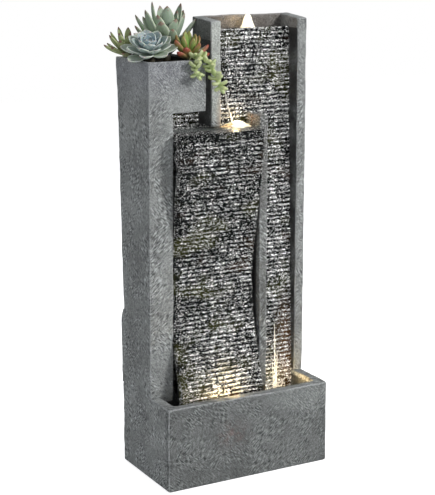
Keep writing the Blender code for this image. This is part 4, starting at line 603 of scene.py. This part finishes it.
def running_water(name, front, low, high, material, seed, dry):
    """The film over a ridged wall: lumps on the ridges, streaks and ripples.

    Low and high are its corners in x and z. Dry is how far in from its left edge and its top the
    ridges are bare. Its edge is folded back into the wall.
    """
    x, z, faces = grid(low, high, FILM_CELL)
    fall = (high[1] - z + 0.0016 * (smooth_noise(x, z, 0.03, 0.012, seed) - 0.5)) / RIDGE_PITCH
    row = np.floor(fall)
    ridge = np.clip(0.5 + 0.9 * np.cos(2 * math.pi * (fall % 1.0 - 0.1)), 0.0, 1.0)
    lump = smooth_noise(x + row * 0.137, z, 0.0042, 0.02, seed + 1)
    fine = smooth_noise(x + row * 0.071, z, 0.0026, 0.0026, seed + 2)
    streak = smooth_noise(x, z, 0.0055, 0.04, seed + 3)
    crest = ridge * (0.3 + 0.7 * lump)
    if dry:
        ragged = dry * (0.5 + smooth_noise(x, z, 0.004, 0.004, seed + 4))
        inner = np.minimum(np.clip((x - low[0]) / ragged, 0, 1), np.clip((high[1] - z) / ragged, 0, 1))
        crest = crest * inner**2
    edge = np.clip(np.minimum(x - low[0], high[0] - x) / (2 * FILM_CELL), 0, 1)
    relief = RIDGE_DEPTH * crest + 0.0007 * fine + 0.0006 * streak
    y = front(z) + 0.75 * RIDGE_DEPTH - relief + 0.0008 * (1 - edge)
    points = np.stack([x, y, z], axis=-1).reshape(-1, 3)
    crest = crest.reshape(-1)

    index = np.arange(x.size).reshape(x.shape)
    rim = np.concatenate([index[0], index[1:, -1], index[-1, -2::-1], index[-2:0:-1, 0]]).tolist()
    folded = points[rim]
    folded[:, 1] = front(folded[:, 2]) + FILM_BACK
    for k, corner in enumerate(rim):
        following = (k + 1) % len(rim)
        faces.append((rim[following], corner, x.size + k, x.size + following))
    values = np.concatenate([crest, np.zeros(len(rim))])
    item = new_object(name, np.concatenate([points, folded]), faces, material, attributes={"crest": values})
    return item, points, crest


def ball():
    """The points and the faces of a ball with 20 sides."""
    shape = bmesh.new()
    bmesh.ops.create_icosphere(shape, subdivisions=1, radius=1.0)
    points = np.array([vertex.co for vertex in shape.verts])
    faces = np.array([[vertex.index for vertex in face.verts] for face in shape.faces])
    shape.free()
    return points, faces


BALL, BALL_FACES = ball()


def balls(name, places, material, body="fountain", smooth=True):
    """Many balls in one mesh, each given by the places of its points."""
    faces = [BALL_FACES + len(BALL) * k for k in range(len(places))]
    return new_object(name, np.concatenate(places), np.concatenate(faces).tolist(), material, body, smooth)


def drops(name, places, sizes, material, seed, flat=0.55):
    """Small beads of water, each squashed against what it sits on."""
    random = np.random.RandomState(seed)
    beads = []
    for place, size in zip(places, sizes):
        stretch = np.array([random.uniform(0.8, 1.5), flat, random.uniform(0.7, 1.1)])
        beads.append(BALL * size * stretch + place)
    return balls(name, beads, material)


def turned(name, centre, profile, material, wave, seed):
    """A form of revolution round a vertical axis, with a gentle swell, closed at both ends."""
    sides = 48
    points = []
    for k, (radius, height) in enumerate(profile):
        for turn in turns(sides):
            swell = 1 + wave * (math.sin(5 * turn + 1.3 * k + seed) + 0.5 * math.sin(11 * turn - 2.1 * k))
            x = centre[0] + radius * swell * math.cos(turn)
            y = centre[1] + radius * swell * math.sin(turn)
            points.append((x, y, centre[2] + height))
    faces = ring_faces(len(profile), sides)
    faces.append(tuple(reversed(range(sides))))
    faces.append(tuple(range(len(points) - sides, len(points))))
    return new_object(name, points, faces, material)


def stream(name, path, radii, material, seed):
    """A twisting strand of falling water along a path, thin towards its ends."""
    random = np.random.RandomState(seed)
    sides = 10
    knots = range(len(path))
    marks = np.linspace(0, len(path) - 1, 14 * (len(path) - 1) + 1)
    line = np.stack([np.interp(marks, knots, values) for values in zip(*path)], axis=1)
    points = []
    for k, (place, radius) in enumerate(zip(line, np.interp(marks, knots, radii))):
        radius = radius * (1 + 0.35 * (random.rand() - 0.5))
        shift = radius * 0.5 * math.sin(k * 0.9 + seed)
        for turn in turns(sides):
            turn += 0.12 * k
            points.append(place + (shift + radius * math.cos(turn), 0.6 * radius * math.sin(turn), 0.0))
    faces = [(a, d, c, b) for a, b, c, d in ring_faces(len(line), sides)]
    faces.append(tuple(range(sides)))
    faces.append(tuple(reversed(range(len(points) - sides, len(points)))))
    return new_object(name, points, faces, material)


def pool(name, low, high, level, seed, material, holes=(), cell=0.002, swell=0.0012):
    """A rippled water surface, left out where something stands in it."""
    x, y, faces = grid(low, high, cell)
    ripple = smooth_noise(x, y, 0.014, 0.014, seed) + 0.6 * smooth_noise(x, y, 0.006, 0.006, seed + 1)
    points = np.stack([x, y, level + swell * (ripple - 0.8)], axis=-1).reshape(-1, 3)

    def is_open(face):
        u, v, _ = (points[face[0]] + points[face[2]]) / 2
        return not any(start[0] < u < end[0] and start[1] < v < end[1] for start, end in holes)

    return new_object(name, points, [face for face in faces if is_open(face)], material)


# Leaf outlines: share of the length and share of the width
LANCE = ((0, 0.5), (0.15, 0.62), (0.35, 0.8), (0.55, 0.97), (0.7, 1.0), (0.84, 0.78), (0.94, 0.42), (1, 0))
SPOON = ((0, 0.4), (0.18, 0.55), (0.38, 0.8), (0.58, 0.98), (0.7, 1.0), (0.84, 0.8), (0.94, 0.42), (1, 0))
BEAN = ((0, 0.5), (0.12, 0.78), (0.3, 0.98), (0.55, 1.0), (0.78, 0.9), (0.92, 0.6), (0.97, 0.38), (1, 0))
LEAF_SHARES = [i / 12 for i in range(12)] + [0.97]
AROUND = 12
GOLDEN = 137.5
UPRIGHT = Matrix.Identity(3)

# Length, width and thickness of the sedum's leaves
SEDUM_LEAF = (0.018, 0.0124, 0.0088)


class Plant:
    """Collects the leaves of one plant into one mesh."""

    def __init__(self):
        self.points = []
        self.faces = []
        self.values = {key: [] for key in LEAF_VALUES}

    def add(self, point, *values):
        """A point with its attributes."""
        self.points.append(point)
        for key, value in zip(LEAF_VALUES, values):
            self.values[key].append(value)

    def leaf(self, foot, turn, lean, length, width, thickness, outline, curl, cup, age, tone, tilt=UPRIGHT):
        """One closed leaf. Lean is from the plant's axis, and curl bends its tip up again."""
        turn = math.radians(turn)
        outward = tilt @ Vector((math.cos(turn), math.sin(turn), 0.0))
        across = tilt @ Vector((-math.sin(turn), math.cos(turn), 0.0))
        axis = tilt @ Vector((0.0, 0.0, 1.0))

        def heading(start, end):
            angle = math.radians(lean + curl * (0.5 - (start + end) / 2))
            return outward * math.sin(angle) + axis * math.cos(angle)

        place = Vector(foot)
        last = 0.0
        first = len(self.points)
        for share, wide in zip(LEAF_SHARES, np.interp(LEAF_SHARES, *zip(*outline))):
            along = heading(last, share)
            place = place + along * (share - last) * length
            last = share
            up = along.cross(across)
            if up.dot(axis) < 0:
                up = -up
            half = wide * width / 2
            thick = wide**0.6 * thickness / 2
            for angle in turns(AROUND):
                side = math.cos(angle)
                rise = math.sin(angle)
                keel = 0.25 * max(0.0, -rise) ** 3
                lift = thick * (min(rise, 0.55 * rise) - keel) + cup * wide * width * side**2
                self.add(place + across * half * side + up * lift, share, abs(side), tone, age)
        self.add(place + heading(last, 1.0) * (1.0 - last) * length, 1.0, 1.0, tone, age)
        self.faces += ring_faces(len(LEAF_SHARES), AROUND, first)
        tip = len(self.points) - 1
        ring = tip - AROUND
        self.faces += [(ring + i, ring + (i + 1) % AROUND, tip) for i in range(AROUND)]
        self.faces.append(tuple(reversed(range(first, first + AROUND))))

    def tube(self, rings, sides, *values):
        """Joined rings, each a centre and two half axes, with one set of attributes."""
        first = len(self.points)
        for centre, one, other in rings:
            for turn in turns(sides):
                point = Vector(centre) + Vector(one) * math.cos(turn) + Vector(other) * math.sin(turn)
                self.add(point, *values)
        self.faces += ring_faces(len(rings), sides, first)

    def stem(self, path, radius):
        """A stem along a path, with the foot of a leaf's attributes."""
        rings = [(place, (radius, 0, 0), (0, 0.4 * radius, radius)) for place in path]
        self.tube(rings, 8, 0.3, 0.0, 0.5, 1.0)

    def heart(self, foot, core):
        """The short stem under a rosette."""
        rings = []
        for share, wide in ((0.0, 0.8), (0.6, 1.0), (1.0, 0.5)):
            centre = (foot.x, foot.y, between(share, 0, SOIL_TOP, 1, foot.z + core))
            rings.append((centre, (core * wide, 0, 0), (0, core * wide, 0)))
        self.tube(rings, AROUND, 0.1, 0.0, 0.5, 2.0)
        self.faces.append(tuple(range(len(self.points) - AROUND, len(self.points))))

    def finish(self, name, node, material, slot):
        item = new_object(name, self.points, self.faces, material, None, True, self.values)
        shape = bmesh.new()
        shape.from_mesh(item.data)
        bmesh.ops.recalc_face_normals(shape, faces=shape.faces)
        shape.to_mesh(item.data)
        shape.free()
        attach(item, "planter_insert")
        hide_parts(node)


def on_bed(x, y, z):
    """A place given from the fountain's left and front."""
    return Vector((LEFT + x, FRONT + y, z))


# Leaves as turn and lean in degrees, length, and share of the plant's leaf width
TALL_LEAVES = (
    (154, 14, 0.12, 0.9), (-105, 8, 0.109, 1.2), (21, 24, 0.121, 0.8), (30, 37, 0.118, 0.9),
    (-176, 27, 0.113, 1.0), (169, 37, 0.113, 0.7), (178, 47, 0.1, 0.8), (-127, 38, 0.1, 1.1),
    (-10, 41, 0.104, 0.8), (-40, 24, 0.101, 1.0), (97, 12, 0.109, 0.9), (60, 17, 0.103, 0.8),
    (120, 36, 0.102, 0.9), (78, 40, 0.096, 0.9), (48, 55, 0.08, 0.8), (-65, 46, 0.078, 1.0),
    (-100, 38, 0.078, 1.1), (142, 56, 0.086, 0.8), (-75, 22, 0.088, 1.2), (-150, 20, 0.096, 1.1),
    (0, 16, 0.1, 1.0),
)
OLIVE_LEAVES = (
    (-175, 45, 0.064, 1.0), (165, 36, 0.063, 1.0), (120, 22, 0.064, 0.9), (60, 12, 0.06, 0.9),
    (-45, 20, 0.051, 1.0), (-150, 70, 0.066, 1.0), (-125, 80, 0.058, 1.0), (-135, 54, 0.061, 1.2),
    (-105, 60, 0.05, 1.1), (100, 40, 0.041, 1.0), (150, 60, 0.052, 1.0), (-160, 28, 0.056, 1.0),
    (-80, 40, 0.047, 1.1), (-110, 30, 0.05, 1.1), (175, 66, 0.06, 1.0),
)
BUD_LEAVES = (
    (160, 12, 0.048, 1.0), (20, 14, 0.044, 1.0), (-80, 10, 0.043, 1.0), (100, 25, 0.04, 1.0),
    (-150, 32, 0.04, 1.0), (-30, 34, 0.036, 1.0),
)
RED_TIPPED_LEAVES = (
    (-163, 46, 0.056, 1.0), (145, 30, 0.054, 1.0), (110, 10, 0.056, 0.9), (60, 16, 0.056, 0.9),
    (10, 20, 0.051, 1.0), (14, 35, 0.053, 1.0), (-14, 60, 0.05, 1.0), (-25, 80, 0.045, 1.1),
    (-127, 58, 0.045, 1.1), (-148, 72, 0.048, 1.1), (-60, 42, 0.042, 0.9),
    (-80, 22, 0.045, 0.9), (-165, 20, 0.048, 0.9), (75, 48, 0.04, 0.9), (-45, 66, 0.04, 1.0),
)

# Paths of the sedum's stems
LONG_STEM = (
    (0.098, 0.094, 0.907), (0.103, 0.083, 0.926), (0.114, 0.068, 0.926), (0.13, 0.066, 0.916),
    (0.143, 0.066, 0.898), (0.154, 0.067, 0.878), (0.164, 0.067, 0.862),
)
SHORT_STEM = ((0.109, 0.0755, 0.9262), (0.104, 0.067, 0.918), (0.103, 0.0655, 0.906), (0.107, 0.065, 0.894))


def listed(rows, foot, core, width, thickness, curl, cup, seed):
    """A plant from a list of leaves."""
    random = np.random.RandomState(seed)
    plant = Plant()
    plant.heart(foot, core)
    flattest = max(row[1] for row in rows)
    for turn, lean, length, share in rows:
        age = lean / flattest
        plant.leaf(foot, turn, lean, length, width * share, thickness, LANCE, curl, cup, age, random.rand())
    return plant


def tilted_rosette():
    """The large rosette, tilted to the viewer. Its leaves follow one another by the golden angle."""
    random = np.random.RandomState(2)
    tilt = Matrix.Rotation(math.radians(25), 3, Vector((0.875, -0.485, 0.0)))
    base = on_bed(0.028, 0.128, 0.934)
    core = 0.012
    plant = Plant()
    plant.heart(base, core)
    for i in range(32):
        share = i / 31
        wobble = 1 + 0.06 * math.sin(2.4 * i)
        lean = between(share**0.8, 0, 8, 1, 84) * wobble
        length = between(share**0.7, 0, 0.022, 1, 0.065) * wobble
        width = 0.0325 * between(share**0.5, 0, 0.55, 1, 1.0)
        foot = base + tilt @ Vector((0, 0, 0.6 * core * (1 - share)))
        turn = 34 + GOLDEN * i
        plant.leaf(foot, turn, lean, length, width, 0.0062, SPOON, 36, 0.14, share, random.rand(), tilt)
    return plant


def sedum():
    """Two stems over the planter's front edge, with short fat leaves all along them."""
    random = np.random.RandomState(5)
    plant = Plant()
    for points, spacing in ((LONG_STEM, 0.0041), (SHORT_STEM, 0.0043)):
        places = [on_bed(*point) for point in points]
        plant.stem(places, 0.0012)
        number = 0
        for start, end in zip(places[1:], places[2:]):
            steps = max(1, round((end - start).length / spacing))
            for i in range(steps):
                foot = start.lerp(end, (i + 0.5) / steps)
                turn = -90 + GOLDEN * number
                lean = 62 + 30 * math.sin(number * 1.7)
                plant.leaf(foot, turn, lean, *SEDUM_LEAF, BEAN, 30, 0.03, random.rand(), random.rand())
                number += 1
        for turn, lean in ((-90, 95), (0, 110), (-45, 150), (180, 115)):
            plant.leaf(places[-1], turn, lean, *SEDUM_LEAF, BEAN, 20, 0.03, 0.2, random.rand())
    return plant


def plants():
    grey_green = leaf_paint(
        "grey_green_leaf", (0.38, 0.5, 0.37), (0.3, 0.38, 0.25), (0.7, 0.76, 0.6), (0.26, 0.14, 0.1), 0.89
    )
    blue_grey = leaf_paint(
        "blue_grey_leaf", (0.29, 0.41, 0.47), (0.52, 0.59, 0.46), (0.86, 0.91, 0.86), (0.66, 0.58, 0.52),
        0.94, 0.35, 0.6,
    )
    red_tipped = leaf_paint(
        "red_tipped_leaf", (0.28, 0.48, 0.11), (0.27, 0.17, 0.08), (0.46, 0.3, 0.13), (0.38, 0.065, 0.04),
        0.58, 0.04, 0.38, young=0.3,
    )
    olive = leaf_paint(
        "olive_leaf", (0.46, 0.54, 0.25), (0.34, 0.38, 0.17), (0.58, 0.63, 0.34), (0.2, 0.07, 0.06),
        0.88, 0.06, 0.45,
    )
    reddish = leaf_paint(
        "reddish_leaf", (0.34, 0.22, 0.16), (0.32, 0.14, 0.11), (0.46, 0.3, 0.24), (0.22, 0.07, 0.06),
        0.7, 0.08, 0.45,
    )
    pale = leaf_paint(
        "pale_green_leaf", (0.48, 0.6, 0.24), (0.62, 0.68, 0.36), (0.68, 0.76, 0.44), (0.66, 0.7, 0.36),
        0.9, 0.05, 0.4, (0.3, 0.36, 0.14),
    )

    plant = listed(TALL_LEAVES, on_bed(0.097, 0.188, 0.918), 0.011, 0.0298, 0.0088, 16, 0.12, 1)
    plant.finish("tall_succulent", "tall_rosette", grey_green, "grey_green_leaves")
    tilted_rosette().finish("blue_succulent", "blue_rosette", blue_grey, "blue_grey_leaves")
    plant = listed(RED_TIPPED_LEAVES, on_bed(0.112, 0.112, 0.922), 0.01, 0.0172, 0.0108, 24, 0.06, 3)
    plant.finish("red_tipped_succulent", "red_tipped_rosette", red_tipped, "red_tipped_leaves")
    plant = listed(OLIVE_LEAVES, on_bed(0.016, 0.208, 0.922), 0.01, 0.0175, 0.0074, 20, 0.1, 4)
    plant.finish("olive_succulent", "olive_rosette", olive, "olive_leaves")
    plant = listed(BUD_LEAVES, on_bed(0.032, 0.206, 0.924), 0.007, 0.0115, 0.0056, 14, 0.06, 6)
    plant.finish("red_bud_succulent", "red_bud_rosette", reddish, "reddish_leaves")
    sedum().finish("trailing_succulent", "trailing_sedum", pale, "pale_green_leaves")


def crumbs(material):
    """Bits of bark and grit on the soil."""
    random = np.random.RandomState(9)
    low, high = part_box("potting_soil")
    margin = 0.003
    bits = []
    for _ in range(700):
        size = random.uniform(0.0008, 0.0028)
        x = random.uniform(low.x + margin, high.x - margin)
        y = random.uniform(low.y + margin, high.y - margin)
        angle = random.uniform(0, 6.28)
        turn = np.array(Matrix.Rotation(angle, 3, Vector(random.normal(size=3)).normalized()))
        stretch = np.array([size * random.uniform(0.8, 1.8), size, size * random.uniform(0.4, 0.8)])
        rough = 1 + 0.25 * (random.rand(len(BALL), 1) - 0.5)
        bits.append((BALL * rough * stretch) @ turn.T + (x, y, high.z + size * 0.3))
    item = balls("soil_crumbs", bits, material, "planter_insert", False)


def cell_noise(points, cell, seed):
    """Smooth random numbers from -1 to 1 at points in space, with cells of a given size."""
    table = np.random.RandomState(seed).rand(32, 32, 32) * 2 - 1
    base = np.floor(points / cell).astype(int)
    part = points / cell - base
    part = part * part * (3 - 2 * part)
    total = np.zeros(len(points))
    for corner in np.ndindex(2, 2, 2):
        share = np.prod(np.where(corner, part, 1 - part), axis=1)
        i, j, k = ((base + corner) % 32).T
        total += share * table[i, j, k]
    return total


def hand_worked(points, still):
    """Where points of a casting lie once its faces and edges wander, as hand-finished ones do.

    Nothing moves beside the boxes of the pieces that slide or lift out.
    """
    shift = np.zeros_like(points)
    for axis in range(3):
        for cell, reach, seed in CASTING_WAVES:
            shift[:, axis] += reach * cell_noise(points, cell, seed + axis)
    weight = np.clip((points[:, 2] - 0.001) / 0.006, 0.0, 1.0)
    for low, high in still:
        outside = np.maximum(np.maximum(np.array(low) - points, points - np.array(high)), 0.0)
        away = np.linalg.norm(outside, axis=1)
        weight = np.minimum(weight, np.clip((away - 0.0015) / 0.006, 0.0, 1.0))
    inward = 1 - 0.35 * np.abs(shift) / np.abs(shift).max()
    return points + shift * inward * weight[:, None]


def casting(node, material, still):
    """A casting with its long faces divided and its surface worked by hand."""
    shape = bmesh.new()
    shape.from_mesh(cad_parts[node].data)
    bmesh.ops.remove_doubles(shape, verts=shape.verts, dist=1e-6)
    for _ in range(9):
        long = [edge for edge in shape.edges if edge.calc_length() > CASTING_CELL]
        if not long:
            break
        bmesh.ops.subdivide_edges(shape, edges=long, cuts=1)
        bmesh.ops.triangulate(shape, faces=[face for face in shape.faces if len(face.verts) > 3])
    points = np.array([vertex.co for vertex in shape.verts])
    for vertex, place in zip(shape.verts, hand_worked(points, still)):
        vertex.co = place
    mesh = bpy.data.meshes.new(node + "_worked")
    shape.to_mesh(mesh)
    shape.free()
    mesh.materials.clear()
    mesh.materials.append(material)
    mesh.shade_smooth()
    mesh.set_sharp_from_angle(angle=math.radians(28))
    item = linked(node + "_worked", mesh)
    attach(item, "fountain")
    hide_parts(node)


def castings(resin, divider):
    still = [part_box(name) for name in MOVING]
    for node in CASTINGS:
        casting(node, resin, still)
    casting("divider_post", divider, still)


def dress_nodes():
    """Gives each CAD node that stays its material, and adds the castings and the crumbs."""
    resin = cement("cement_resin_look")
    divider = cement("splashed_cement_look", (0.215, 0.226, 0.22), (0.5, 0.78, 0.9))
    earth = soil("earth_look")
    by_slot = {
        "cement_resin": resin,
        "wet_resin": wet_ridges("wet_resin_look"),
        "black_plastic": plastic("black_plastic_look", (0.018, 0.018, 0.02), 0.42),
        "hose_plastic": plastic("hose_plastic_look", (0.48, 0.5, 0.5), 0.3, 500.0, (0.25, 0.26, 0.22), 0.35),
        "lens_plastic": lens("lens_look"),
        "rubber": plastic("rubber_look", (0.013, 0.013, 0.013), 0.65, 1400.0, (0.1, 0.1, 0.1), 0.2),
        "steel": metal("steel_look"),
        "earth": earth,
    }
    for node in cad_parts.values():
        for slot in node.material_slots:
            look = by_slot.get(slot.material.name.split(".")[0]) if slot.material else None
            if look:
                slot.material = look
    crumbs(earth)
    castings(resin, divider)


def films(random):
    """The films on the ridged walls, and beads of water on their crests."""
    tower = wet_ridges("water_film", 1.0, 1.0, 0.95, 2.0, 0.0, TOWER_GLOWS)
    slab = wet_ridges("slab_film", 1.2, 0.8, 0.95, 0.55, 0.034, SLAB_GLOWS, SLAB_BARE)
    left = WALL_LOW.x + INSET
    right = WALL_HIGH.x - INSET
    foot = BASIN_WATER - 0.004
    split = WALL_SPLIT + 0.004

    # Name, front, corners in x and z, material, seed, dry width, count of beads and their sizes
    rows = (
        ("tower_film", wall_front, (left, split), (right, WALL_HIGH.z - 0.0005),
         tower, 11, 0.0, 1500, 0.0006, 0.0015),
        ("channel_film", wall_front, (DIVIDER_HIGH.x + INSET, foot), (right, split),
         tower, 13, 0.0, 1500, 0.0006, 0.0015),
        ("slab_film", slab_front, (SLAB_LOW.x + INSET, foot), (SLAB_HIGH.x - INSET, SLAB_HIGH.z - 0.0005),
         slab, 17, 0.016, 3200, 0.0005, 0.0013),
        ("window_film", window_front, (SHELF_LOW.x + 0.0006, MIDDLE_WATER - 0.006),
         (SHELF_HIGH.x - 0.0006, SHELF_HIGH.z - 0.001), tower, 19, 0.0, 300, 0.0005, 0.0012),
    )
    places = []
    sizes = []
    for name, front, low, high, material, seed, dry, count, least, most in rows:
        item, points, crest = running_water(name, front, low, high, material, seed, dry)
        weight = crest**2 * (0.3 + smooth_noise(points[:, 0], points[:, 2], 0.05, 0.05, 77)) + 0.03
        for k in random.choice(len(points), count, p=weight / weight.sum()):
            places.append(points[k] - (0.0, 0.0002, 0.0) + random.normal(size=3) * (0.0004, 0.0001, 0.0004))
            sizes.append(random.uniform(least, most))
    # The beads are white, as painted glints of the water drops
    item = drops("water_beads", places, sizes, white_water("bead"), 31)


def pools():
    clear = clear_water("pool_water")
    slab_hole = ((SLAB_LOW.x, SLAB_FRONT + 0.003), (SLAB_HIGH.x, SLAB_FRONT + 0.016))
    post_hole = ((DIVIDER_LOW.x, DIVIDER_LOW.y + 0.002), (DIVIDER_HIGH.x, 0.01))
    low = (LEFT + BASIN_WALL - 0.0005, FRONT + 0.0195)
    high = (RIGHT - BASIN_WALL + 0.0005, 0.0932)
    pool("basin_water", low, high, BASIN_WATER, 41, clear, (slab_hole, post_hole), 0.003)
    wall = 0.0045
    low = (TROUGH_LOW.x + wall, TROUGH_LOW.y + wall)
    high = (TROUGH_HIGH.x - wall, TROUGH_HIGH.y - wall)
    pool("trough_water", low, high, MIDDLE_WATER, 43, clear)
    wall = 0.0025
    low = (UPPER_LOW.x + wall, UPPER_LOW.y + wall)
    high = (UPPER_HIGH.x - wall, UPPER_HIGH.y - wall)
    pool("upper_water", low, high, UPPER_WATER, 45, clear, swell=0.0008)


def middle(node):
    """The middle of a node's box, seen from above."""
    low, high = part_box(node)
    return (low.x + high.x) / 2, (low.y + high.y) / 2


def jets(froth):
    """The lit bell over the upper lamp, the lit boil in the middle trough and the bright strands."""
    x, y = middle("upper_nozzle")
    profile = [(radius, BELL_HEIGHT * share) for share, radius in BELL]
    material = white_water("lit_jet", LIT_WATER, 0.95)
    turned("upper_jet", (x, y, UPPER_WATER - 0.0005), profile, material, 0.035, 1)

    x, y = middle("middle_nozzle")
    level = MIDDLE_WATER - 0.001
    profile = []
    for i in range(18):
        share = i / 17
        radius = (0.0015 + 0.025 * (1 - share) ** 0.7) * (1 + 0.1 * math.sin(9 * share))
        profile.append((radius, 0.0125 * share**0.8))
    material = white_water("lit_boil", (1.0, 0.88, 0.6), 0.85)
    turned("middle_jet", (x + 0.012, y, level), profile, material, 0.11, 4)
    profile = [(0.0165 * (1 - i / 10) ** 0.6 + 0.0005, 0.0075 * (i / 10) ** 0.8) for i in range(11)]
    item = turned("middle_swirl", (0.0, 0.0, 0.0), profile, lit_swirl("lit_swirl"), 0.07, 6)
    item.data.transform(Matrix.Translation((0.0265, y, level)) @ Matrix.Diagonal((2.05, 1.0, 1.0, 1.0)))

    lit_froth = white_water("lit_froth", LIT_WATER, 0.75)
    strands = ((0.0, 0.3, 1.0), (0.0065, 0.235, 0.8), (-0.007, 0.215, 0.7))
    for number, (shift, high, thick) in enumerate(strands):
        heights = np.linspace(high, BASIN_WATER, 6)
        path = [(0.134 + shift * (1 - k / 9), wall_front(z) - 0.002, z) for k, z in enumerate(heights)]
        radii = [thick * radius for radius in (0.0004, 0.001, 0.0013, 0.0016, 0.0018, 0.0024)]
        stream("channel_stream_%d" % number, path, radii, lit_froth, 3 + number)
    path = (
        (0.012, 0.0245, 0.846), (0.015, 0.0235, 0.826), (0.019, 0.0215, 0.806), (0.0235, 0.017, 0.785),
        (0.0265, 0.014, 0.768),
    )
    stream("tower_stream", path, (0.0005, 0.0013, 0.0016, 0.0018, 0.002), froth, 5)


def splashes(random, froth):
    """Drops where the water lands. Each spot is two corners and a count."""
    spots = (
        ((SLAB_LOW.x + 0.01, SLAB_FRONT - 0.006, BASIN_WATER + 0.004),
         (SLAB_HIGH.x - 0.01, SLAB_FRONT + 0.001, BASIN_WATER + 0.022), 420),
        ((DIVIDER_HIGH.x + 0.004, -0.004, BASIN_WATER + 0.002),
         (WALL_HIGH.x - INSET - 0.02, 0.002, BASIN_WATER + 0.02), 160),
        ((TROUGH_LOW.x + 0.012, 0.02, MIDDLE_WATER),
         (TROUGH_HIGH.x - 0.012, 0.038, MIDDLE_WATER + 0.008), 220),
        ((WALL_LOW.x + INSET + 0.01, UPPER_LOW.y - 0.006, UPPER_WATER),
         (WALL_HIGH.x - INSET - 0.01, UPPER_LOW.y + 0.006, UPPER_WATER + 0.003), 200),
    )
    places = []
    sizes = []
    for low, high, count in spots:
        for _ in range(count):
            share = random.rand(3)
            share[2] = share[2] ** 2
            places.append(np.array(low) + (np.array(high) - np.array(low)) * share)
            sizes.append(random.uniform(0.0007, 0.0018))
    drops("splash_drops", places, sizes, froth, 33, 0.9)


def water():
    """The films, pools, streams and splashes of the running fountain."""
    random = np.random.RandomState(21)
    froth = white_water("froth")
    films(random)
    pools()
    jets(froth)
    splashes(random, froth)


def lamp(name, kind, place, energy, colour):
    item = linked(name, bpy.data.lights.new(name, kind))
    item.data.energy = energy
    item.data.color = colour
    item.location = place
    return item


def lights():
    world = bpy.data.worlds.new("studio")
    bpy.context.scene.world = world
    nodes = Nodes(world)
    soft = nodes.add("ShaderNodeBackground", (0.95, 0.97, 1.0), 0.29)
    white = nodes.add("ShaderNodeBackground", WHITE, 1.0)
    mixer = nodes.add("ShaderNodeMixShader", nodes.seen(), soft.outputs[0], white.outputs[0])
    nodes.add("ShaderNodeOutputWorld", mixer.outputs[0])

    # Panels: place, height they are turned to, size, energy and colour
    for name, place, height, size, energy, colour in (
        ("key", (1.75, -1.95, 2.4), 0.55, (0.45, 0.55), 68.0, (1.0, 0.99, 0.97)),
        ("fill", (-2.4, -1.6, 1.2), 0.5, (1.6, 2.0), 12.0, (0.96, 0.98, 1.0)),
        ("back", (0.6, 2.4, 1.8), 0.5, (1.6, 1.6), 22.0, WHITE),
    ):
        item = lamp(name, "AREA", place, energy, colour)
        item.data.shape = "RECTANGLE"
        item.data.size, item.data.size_y = size
        towards = Vector((0.0, 0.0, height)) - Vector(place)
        item.rotation_euler = towards.to_track_quat("-Z", "Y").to_euler()

    # The fountain's lamps: place, energy and radius
    for name, place, energy, radius in (
        ("slab_glow", (-0.0605, -0.0935, 0.18), 0.3, 0.01),
        ("slab_glow_wide", (-0.03, -0.0935, 0.184), 0.22, 0.012),
        ("channel_glow", (0.15, -0.045, 0.176), 0.12, 0.01),
        ("middle_glow", (0.03, 0.006, 0.784), 0.055, 0.006),
        ("upper_glow", (0.06, 0.05, 0.992), 0.02, 0.006),
    ):
        lamp(name, "POINT", place, energy, WARM).data.shadow_soft_size = radius


def floor():
    """A plain white floor that keeps the object's shadow."""
    size = 6.0
    points = [(-size, -size, 0.0), (size, -size, 0.0), (size, size, 0.0), (-size, size, 0.0)]
    paint = Paint("studio_floor")
    paint.set(Base_Color=paint.mix(paint.noise(3.0), (0.8, 0.8, 0.8), (0.82, 0.82, 0.82)), Roughness=0.9)
    plain = paint.shader.outputs[0]
    glow = paint.add("ShaderNodeEmission", WHITE, 0.8)
    lit = paint.add("ShaderNodeAddShader", plain, glow.outputs[0])
    choice = paint.add("ShaderNodeMixShader", paint.seen(), plain, lit.outputs[0])
    paint.feed(paint.output.inputs["Surface"], choice.outputs[0])
    item = new_object("studio_floor", points, [(0, 1, 2, 3)], paint.material, None, False)


def camera():
    data = bpy.data.cameras.new("photo")
    data.lens = CAMERA_LENS
    data.sensor_width = 36.0
    data.clip_start = 0.05
    item = linked("photo", data)
    item.location = CAMERA_PLACE
    item.rotation_euler = (CAMERA_TILT, 0.0, CAMERA_YAW)
    bpy.context.scene.camera = item


bpy.context.scene.view_settings.view_transform = "Standard"
dress_nodes()
plants()
water()
lights()
floor()
camera()

bpy.context.view_layer.update()
